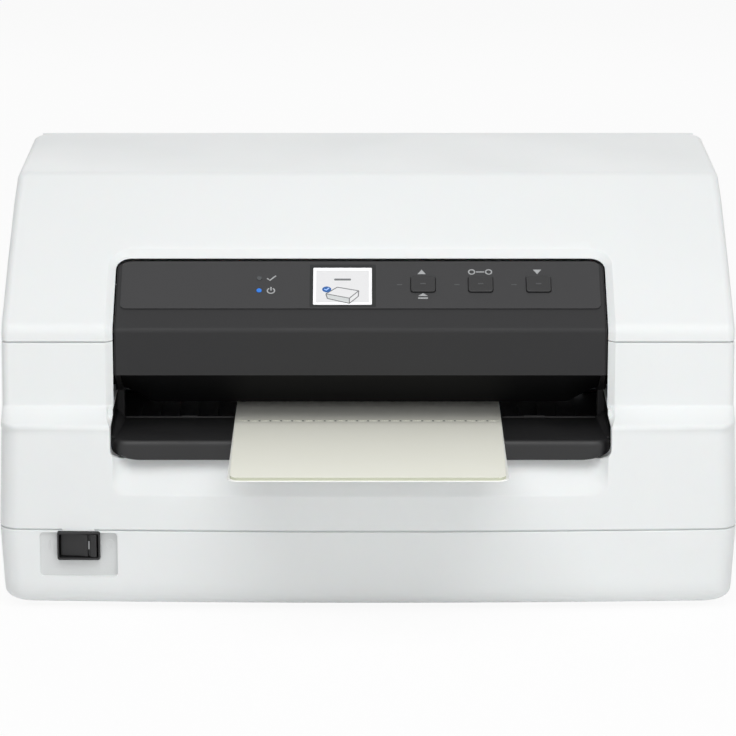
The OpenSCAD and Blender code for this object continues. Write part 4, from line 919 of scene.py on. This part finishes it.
pitch, fold_z = 5.75, book_z + book_thick - 0.30
thread_line = ((-1, 0.1, -0.2), (-0.85, 0.28, 0.0), (-0.3, 0.33, 0.12), (0.3, 0.33, 0.12), (0.85, 0.28, 0.0),
               (1, 0.1, -0.2))
for i in range(24):
    mid = (i - 11.5) * pitch
    stitch = loft(f"stitch_{i}", [
        [(mid + u * 2.2, y, z) for y, z in arc(fold_y, fold_z + lift, r, 0, 315, 7)]
        for u, r, lift in thread_line])
    finish_piece(stitch, thread, "passbook", sharp=60)
    if i:
        round_hole = [(x, fold_y + y) for x, y in arc(mid - pitch / 2, 0, 0.62, 0, 315, 7, 1.2)]
        hole = prism(f"needle_hole_{i}", round_hole, "z", fold_z - 0.2, fold_z + 0.16)
        finish_piece(hole, punched, "passbook")

# ---------------------------------------------------------------------------------------------------
# Frame, brackets and guides
# Steel sheet, stamped and zinc plated: a bluish satin metal with faint lines along the rolling.


def dress(slot, material):
    """Gives a finish to all the parts that keep their CAD shape and name this slot."""
    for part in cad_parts.values():
        for holder in part.material_slots:
            if holder.material.name.split(".")[0] == slot:
                holder.link = "OBJECT"
                holder.material = material


zinc, tree, place = new_material("steel_zinc_plated")
along = add(tree, "ShaderNodeMapping", {"Scale": (60.0, 900.0, 900.0)}, {"Vector": place})
rolled = add(tree, "ShaderNodeTexNoise", {"Scale": 1.0, "Detail": 4.0}, {"Vector": along.outputs["Vector"]})
surface(tree, {"Metallic": 1.0}, (rolled.outputs["Fac"], "#a9adb0", "#b6babd"),
        gloss=(rolled.outputs["Fac"], 0.3, 0.45))
dress("steel_sheet", zinc)

# ---------------------------------------------------------------------------------------------------
# Shafts and pins
# Carbon steel, centreless ground: bright, with very fine rings round the shaft, drawn 0.4 mm apart.
ground, tree, place = new_material("steel_ground")
along = add(tree, "ShaderNodeMapping", {"Scale": (2500.0, 30.0, 30.0)}, {"Vector": place})
rings_cut = add(tree, "ShaderNodeTexNoise", {"Scale": 1.0, "Detail": 3.0},
                {"Vector": along.outputs["Vector"]})
surface(tree, {"Metallic": 1.0}, (rings_cut.outputs["Fac"], "#b9bcbe", "#c4c7c9"),
        gloss=(rings_cut.outputs["Fac"], 0.14, 0.26))
dress("ground_steel", ground)

# ---------------------------------------------------------------------------------------------------
# Bushings
# Bronze, pressed and sintered from powder: a dull gold with open pores of about 0.3 mm.
bronze, tree, place = new_material("bronze_sintered")
pores = add(tree, "ShaderNodeTexVoronoi", {"Scale": 2600.0}, {"Vector": place})
surface(tree, {"Metallic": 1.0, "Roughness": 0.48}, (pores.outputs["Distance"], "#7d5f38", "#ad8550"),
        relief=(pores.outputs["Distance"], 0.3, 0.00006))
dress("bronze", bronze)

# ---------------------------------------------------------------------------------------------------
# Gears, pulleys and the ribbon knob
# Nylon, moulded and left natural: milky, slightly see-through at thin edges, satin.
nylon, tree, place = new_material("nylon_moulded")
flow = add(tree, "ShaderNodeTexNoise", {"Scale": 90.0, "Detail": 4.0}, {"Vector": place})
surface(tree, {"IOR": 1.53, "Subsurface Weight": 0.15, "Subsurface Scale": 0.002},
        (flow.outputs["Fac"], "#e6e3d8", "#dcd8ca"), gloss=(flow.outputs["Fac"], 0.36, 0.5))
dress("nylon", nylon)

# ---------------------------------------------------------------------------------------------------
# Tires, rollers, platen and feet
# Nitrile rubber, ground to size: dead matt, with a fine random nap from the wheel.
rubber, tree, place = new_material("rubber_ground")
nap = add(tree, "ShaderNodeTexNoise", {"Scale": 1500.0, "Detail": 5.0, "Roughness": 0.7}, {"Vector": place})
surface(tree, {"IOR": 1.52, "Specular IOR Level": 0.3}, (nap.outputs["Fac"], "#232324", "#2c2c2d"),
        gloss=(nap.outputs["Fac"], 0.75, 0.9), relief=(nap.outputs["Fac"], 0.4, 0.00006))
dress("rubber", rubber)

# ---------------------------------------------------------------------------------------------------
# Carriage belt
# Rubber, moulded over cord: black, with the print of its 2 mm teeth along it.
belting, tree, place = new_material("rubber_moulded_belt")
teeth = add(tree, "ShaderNodeTexWave", {"bands_direction": "X", "Scale": 80.0, "Distortion": 0.2},
            {"Vector": place})
surface(tree, {"IOR": 1.52, "Roughness": 0.7, "Specular IOR Level": 0.3},
        (teeth.outputs["Fac"], "#181819", "#262627"), relief=(teeth.outputs["Fac"], 0.5, 0.0002))
dress("belt_rubber", belting)

# ---------------------------------------------------------------------------------------------------
# Motors
# Deep-drawn steel, black oxide: dark, half glossy, with cloudy patches from the bath.
oxide, tree, place = new_material("steel_black_oxide")
cloud = add(tree, "ShaderNodeTexNoise", {"Scale": 120.0, "Detail": 5.0}, {"Vector": place})
surface(tree, {"Metallic": 1.0}, (cloud.outputs["Fac"], "#292b2d", "#36383b"),
        gloss=(cloud.outputs["Fac"], 0.32, 0.5))
dress("motor_black", oxide)

# ---------------------------------------------------------------------------------------------------
# Print head
# Zinc alloy, die-cast and blasted: a grey metal with a grain of about 0.5 mm that scatters the light.
cast, tree, place = new_material("zinc_alloy_die_cast")
blast = add(tree, "ShaderNodeTexNoise", {"Scale": 1400.0, "Detail": 4.0, "Roughness": 0.65},
            {"Vector": place})
surface(tree, {"Metallic": 1.0}, (blast.outputs["Fac"], "#75787b", "#85888b"),
        gloss=(blast.outputs["Fac"], 0.42, 0.6), relief=(blast.outputs["Fac"], 0.3, 0.00006))
dress("head_alloy", cast)

# ---------------------------------------------------------------------------------------------------
# Circuit boards
# Glass epoxy under green solder mask: glossy, with the copper tracks showing through paler, 2.5 mm apart.
mask, tree, place = new_material("epoxy_solder_mask")
tracks = add(tree, "ShaderNodeTexBrick", {"Scale": 100.0, "Mortar Size": 0.05, "Color1": linear("#1d5836"),
                                          "Color2": linear("#205e3a"), "Mortar": linear("#2f7a4c")},
             {"Vector": place})
relief = add(tree, "ShaderNodeBump", {"Strength": 0.3, "Distance": 0.00004},
             {"Height": tracks.outputs["Fac"]})
skin = add(tree, "ShaderNodeBsdfPrincipled", {"IOR": 1.55, "Roughness": 0.32},
           {"Base Color": tracks.outputs["Color"], "Normal": relief.outputs["Normal"]})
add(tree, "ShaderNodeOutputMaterial", links={"Surface": skin.outputs[0]})
dress("circuit_board", mask)

# ---------------------------------------------------------------------------------------------------
# Ribbon
# Nylon cloth, woven and inked: black and damp looking. Its 0.1 mm weave is drawn at 0.5 mm.
inked, tree, place = new_material("nylon_woven_inked")
warp = add(tree, "ShaderNodeTexWave", {"bands_direction": "X", "Scale": 320.0}, {"Vector": place})
weft = add(tree, "ShaderNodeTexWave", {"bands_direction": "Z", "Scale": 320.0}, {"Vector": place})
weave = add(tree, "ShaderNodeMath", {"operation": "MAXIMUM"},
            {0: warp.outputs["Fac"], 1: weft.outputs["Fac"]})
surface(tree, {"IOR": 1.5, "Roughness": 0.55}, (weave.outputs[0], "#0f0f11", "#1b1b1e"),
        relief=(weave.outputs[0], 0.4, 0.00008))
dress("ribbon_ink", inked)

# ---------------------------------------------------------------------------------------------------
# The other mouldings that keep their CAD shape
# They are of the same plastics, film, glass and paper as the pieces above.
for slot, material in (("white_abs", white_abs), ("black_abs", black_abs), ("dark_grey_abs", dark_abs),
                       ("plate_film", film), ("screen", glow), ("lens", clear), ("paper", paper)):
    dress(slot, material)

# ---------------------------------------------------------------------------------------------------
# Floor, light and camera
# The card floor and the world look pure white to the camera and in reflections, but light the object more
# softly, so that it keeps its shading and a faint shadow. Five soft boxes stand before, beside and behind it.


def place_at(x, y, z):
    """A place in the millimetres of this script, as a vector in the frame of the CAD."""
    return Vector((x * 0.001, (y + plan_shift) * 0.001, z * 0.001))


card, tree, _ = new_material("pale_floor")
ray = add(tree, "ShaderNodeLightPath")
seen = add(tree, "ShaderNodeMath", {"operation": "MAXIMUM"},
           {0: ray.outputs["Is Camera Ray"], 1: ray.outputs["Is Glossy Ray"]})
matt = add(tree, "ShaderNodeBsdfDiffuse", {"Color": linear("#f4f4f4")})
white = add(tree, "ShaderNodeEmission", {"Color": (1, 1, 1, 1), "Strength": 1.0})
share = add(tree, "ShaderNodeMath", {"operation": "MULTIPLY", 1: 0.92}, {0: seen.outputs[0]})
both = add(tree, "ShaderNodeMixShader", {}, {0: share.outputs[0], 1: matt.outputs[0], 2: white.outputs[0]})
add(tree, "ShaderNodeOutputMaterial", links={"Surface": both.outputs[0]})
floor = prism("floor", [(-4000, -4000), (4000, -4000), (4000, 4000), (-4000, 4000)], "z", -8, -0.3)
floor.data.materials.append(card)

world = bpy.data.worlds.new("studio")
bpy.context.scene.world = world
world.use_nodes = True
tree = world.node_tree
tree.nodes.clear()
ray = add(tree, "ShaderNodeLightPath")
seen = add(tree, "ShaderNodeMath", {"operation": "MAXIMUM"},
           {0: ray.outputs["Is Camera Ray"], 1: ray.outputs["Is Glossy Ray"]})
dim = add(tree, "ShaderNodeMapRange", {"To Min": 0.4, "To Max": 1.0}, {"Value": seen.outputs[0]})
sky = add(tree, "ShaderNodeBackground", {"Color": (1, 1, 1, 1)}, {"Strength": dim.outputs[0]})
add(tree, "ShaderNodeOutputWorld", links={"Surface": sky.outputs[0]})


def softbox(name, at, target, size, power):
    """A soft box that faces a target; its size is in metres and its power in watts."""
    light = bpy.data.lights.new(name, "AREA")
    light.shape, light.size, light.size_y, light.energy = "RECTANGLE", size[0], size[1], power
    made = bpy.data.objects.new(name, light)
    bpy.context.scene.collection.objects.link(made)
    made.location = place_at(*at)
    made.rotation_mode = "QUATERNION"
    made.rotation_quaternion = (place_at(*target) - made.location).to_track_quat("-Z", "Y")


softbox("near_high", (0, -420, 800), (0, 60, 130), (0.9, 0.5), 3.9)
softbox("front_high", (0, -1400, 650), (0, 40, 110), (1.8, 0.8), 2.4)
softbox("front_low", (0, -1700, 320), (0, 20, 110), (2.0, 0.6), 2.2)
softbox("side", (1200, -700, 500), (0, 60, 110), (0.9, 1.2), 2.2)
softbox("back", (0, 1700, 800), (0, 120, 110), (1.8, 0.9), 4.0)

# The camera stands about 2.1 m away, level with the middle of the object, and looks down at 14 degrees.
view = bpy.data.cameras.new("camera")
view.lens, view.sensor_width, view.clip_start, view.clip_end = 190.3, 36.0, 0.05, 30.0
camera = bpy.data.objects.new("camera", view)
bpy.context.scene.collection.objects.link(camera)
camera.location = place_at(0, -1958.4, 620.8)
camera.rotation_mode = "QUATERNION"
camera.rotation_quaternion = (place_at(0, 120, 102.6) - camera.location).to_track_quat("-Z", "Y")
bpy.context.scene.camera = camera
bpy.context.scene.view_settings.view_transform = "Standard"
